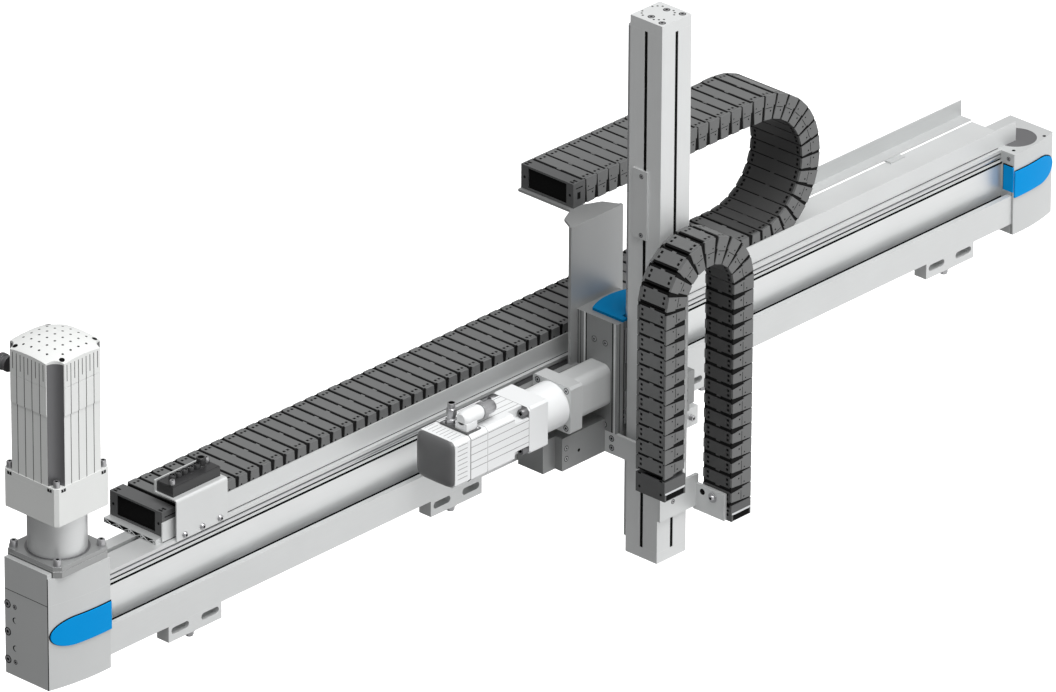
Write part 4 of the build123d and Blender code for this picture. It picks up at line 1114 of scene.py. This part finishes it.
# Column
def make_column_slots():
    """Painted shade at the backs of the column's slots, and the bevelled rail on its back."""
    low, high = node_box("column_profile")
    middle = (low + high) / 2
    half_slot = 2.75
    sink = 0.5
    deep = 6.5
    along = (low.z, high.z)
    shadows = Shape()
    shadows.box((middle.x - half_slot, middle.x + half_slot), (low.y + sink, low.y + deep), along)
    for x in ((low.x + sink, low.x + deep), (high.x - deep, high.x - sink)):
        shadows.box(x, (middle.y - half_slot, middle.y + half_slot), along)
    ride(shadows, "column_slot_shadows", "column", [hollow_shade])

    low, high = node_box("column_rail")
    bevel = 4
    rail = Shape()
    rail.prism([(low.x, low.y), (high.x, low.y), (high.x, high.y - bevel), (high.x - bevel, high.y),
                (low.x + bevel, high.y), (low.x, high.y - bevel)], low.z, high.z)
    ride(rail, "column_rail_bevelled", "column", [steel], ["column_rail"])


def make_column_fasteners():
    screws = Shape()
    _, top_high = node_box("column_top_plate")
    centre = node_middle("column_top_plate")
    top_screws = [(-20, -20.3), (20, -20.3), (-15.2, 3.8), (15.2, 3.8)]
    top_screws = [(centre.x + x, centre.y + y, top_high.z) for x, y in top_screws]
    screws.add_each(sunk_screw(5.0), top_screws, UP)
    hole_ring = 22
    for corner in range(4):
        for turn in (-18, 0, 18):
            angle = math.radians(45 + 90 * corner + turn)
            x = centre.x + hole_ring * math.cos(angle)
            y = centre.y + 5.2 + hole_ring * math.sin(angle)
            screws.add_each(hole(1.5), [(x, y, top_high.z)], UP)
    end_low, _ = node_box("column_end_plate")
    end_screws = [(centre.x + i * 20, centre.y + j * 20, end_low.z) for i, j in CORNERS]
    screws.add_each(sunk_screw(5.0), end_screws, DOWN, BACK)
    plate_low, _ = node_box("column_side_plate")
    screws.add_each(sunk_screw(3.4), [(plate_low.x, -199.5, z) for z in (367.0, 279.5)], LEFT)
    _, lower_high = node_box("column_lower_bracket")
    screws.add_each(sunk_screw(3.6), [(34.6, lower_high.y - 5, -120.0)], FRONT)
    arm_x = lower_high.x - 5
    washer = Shape().turned([(7.5, 0), (7.5, 1.4), (3, 1.4)], last=False)
    washer.add(button_screw(4.8, 3.8), shift(0, 0, 1.2))
    screws.add_each(washer, [(arm_x, -268.0, -120.0)], LEFT)
    screws.add_each(hole(4.5), [(arm_x, -249.0, -118.0)], LEFT)
    ride(screws, "column_fasteners", "column", FASTENER_LOOKS)


# Chain connectors
def make_connectors_a():
    """The large chain's connectors: painted shade in the mouth, at two pins and in the latch slots."""
    wall_y = 12.9
    wall_z = 2.9
    for name, body in (("chain_a_fixed_connector", "beam"), ("chain_a_moving_connector", "carriage")):
        low, high = node_box(name)
        z = (low.z + high.z) / 2
        marks = Shape()
        marks.box((low.x + 2, high.x - 0.5), (low.y + wall_y, high.y - wall_y),
                  (low.z + wall_z, high.z - wall_z), 1)
        for y in (low.y + 6.5, high.y - 6.5):
            marks.add_each(hole(2.0), [(low.x, y, z)], LEFT)
            for start, end, half in ((2.5, 5.5, 3.5), (9, 12, 3.5), (6.4, 8.4, 0.8)):
                marks.mark(UP, high.z, (low.x + start, low.x + end), (y - half, y + half), 1)
        marks.mark(FRONT, low.y, (low.x + 5, high.x - 5), (high.z - 9, high.z - 7.6), 1)
        marks.mark(FRONT, low.y, (low.x + 8, low.x + 14), (z - 7, z + 3), 1)
        ride(marks, name + "_marks", body, FASTENER_LOOKS)


def make_connectors_b():
    """The small chain's connectors: a steel clamp across the front of an open mouth, painted as shade
    inside.
    """
    for name, body in (("chain_b_fixed_connector", "carriage"), ("chain_b_moving_connector", "column")):
        low, high = node_box(name)
        front = (low.y - 0.4, low.y + 2.0)
        mouth = (low.x + 3.5, high.x - 3.5)
        clamp = Shape()
        clamp.box((low.x + 1, high.x - 1), front, (low.z + 9.5, low.z + 12.5), 0)
        for x in ((low.x + 0.5, low.x + 3), (high.x - 3, high.x - 0.5)):
            clamp.box(x, front, (low.z, low.z + 10), 2)
        clamp.mark(FRONT, low.y, mouth, (low.z + 1, low.z + 9.5), 1)
        clamp.mark(DOWN, low.z, mouth, (low.y + 5, high.y - 5), 1)
        for y in (low.y + 7, high.y - 7):
            clamp.add_each(hole(2.0), [(low.x, y, low.z + 9)], LEFT)
            clamp.mark(LEFT, low.x, (y - 2.5, y + 2.5), (high.z - 10, high.z - 7.5), 1)
        ride(clamp, name + "_clamp", body, [steel, hollow_shade, grey_plastic])


# Camera
def make_camera():
    """The photograph's camera: at azimuth 0 and elevation 0 it looks along +Y."""
    data = bpy.data.cameras.new("camera")
    data.lens = CAMERA_LENS
    data.sensor_width = SENSOR_WIDTH
    data.clip_start = 1
    data.clip_end = 60
    camera = bpy.data.objects.new("camera", data)
    bpy.context.scene.collection.objects.link(camera)
    turn = spin(CAMERA_AZIMUTH) @ spin(90 - CAMERA_ELEVATION, "X") @ spin(-CAMERA_ROLL)
    camera.matrix_world = Matrix.Translation(Vector(CAMERA_PLACE) * MM) @ turn
    bpy.context.scene.camera = camera
    bpy.context.scene.view_settings.view_transform = "Standard"


# Studio
def make_floor():
    """A pale floor that is white to the camera and darker to one side for the light that it throws back."""
    floor = Shape()
    floor.put([(x * FLOOR_HALF, y * FLOOR_HALF, FLOOR_Z) for x, y in ((-1, -1), (1, -1), (1, 1), (-1, 1))],
              [(0, 1, 2, 3)])
    paint = bpy.data.materials.new("studio_floor")
    graph = Graph(paint)
    seen = graph.add("LightPath", {}, "Is Camera Ray")
    place = graph.add("TexCoord", {}, "Object")
    thrown = graph.spread(graph.dot(place, FLOOR_LEAN), FLOOR_LOW, FLOOR_HIGH, -1.2, 1.6)
    graph.feed(graph.nodes["Principled BSDF"], {
        "Roughness": 0.9, "Specular IOR Level": 0.1, "Emission Color": (1, 1, 1, 1),
        "Emission Strength": graph.add("Math", {0: seen, 1: FLOOR_GLOW}, 0, operation="MULTIPLY"),
        "Base Color": graph.mix(seen, thrown, FLOOR_WHITE)})
    floor.piece("studio_floor", [paint])


def make_light():
    """One soft key light, and a world that is brighter to the front."""
    sun = bpy.data.lights.new("key", "SUN")
    sun.energy = KEY_STRENGTH
    sun.angle = math.radians(KEY_SPREAD)
    lamp = bpy.data.objects.new("key", sun)
    bpy.context.scene.collection.objects.link(lamp)
    lamp.matrix_world = facing((0, 0, 3), KEY_DIRECTION)

    world = bpy.data.worlds.new("studio")
    bpy.context.scene.world = world
    graph = Graph(world)
    lean = graph.dot(graph.add("TexCoord", {}, "Generated"), WORLD_LEAN)
    glow = graph.spread(lean, WORLD_LOW, WORLD_HIGH, -0.7, 0.7)
    graph.feed(graph.nodes["Background"], {"Color": glow})


make_chain_a()
make_chain_b()
make_beam_lines()
make_support_end()
make_beam_fasteners()
make_motor_x()
make_distributor()
make_servo()
make_carriage_details()
make_column_slots()
make_column_fasteners()
make_connectors_a()
make_connectors_b()
make_camera()
make_floor()
make_light()
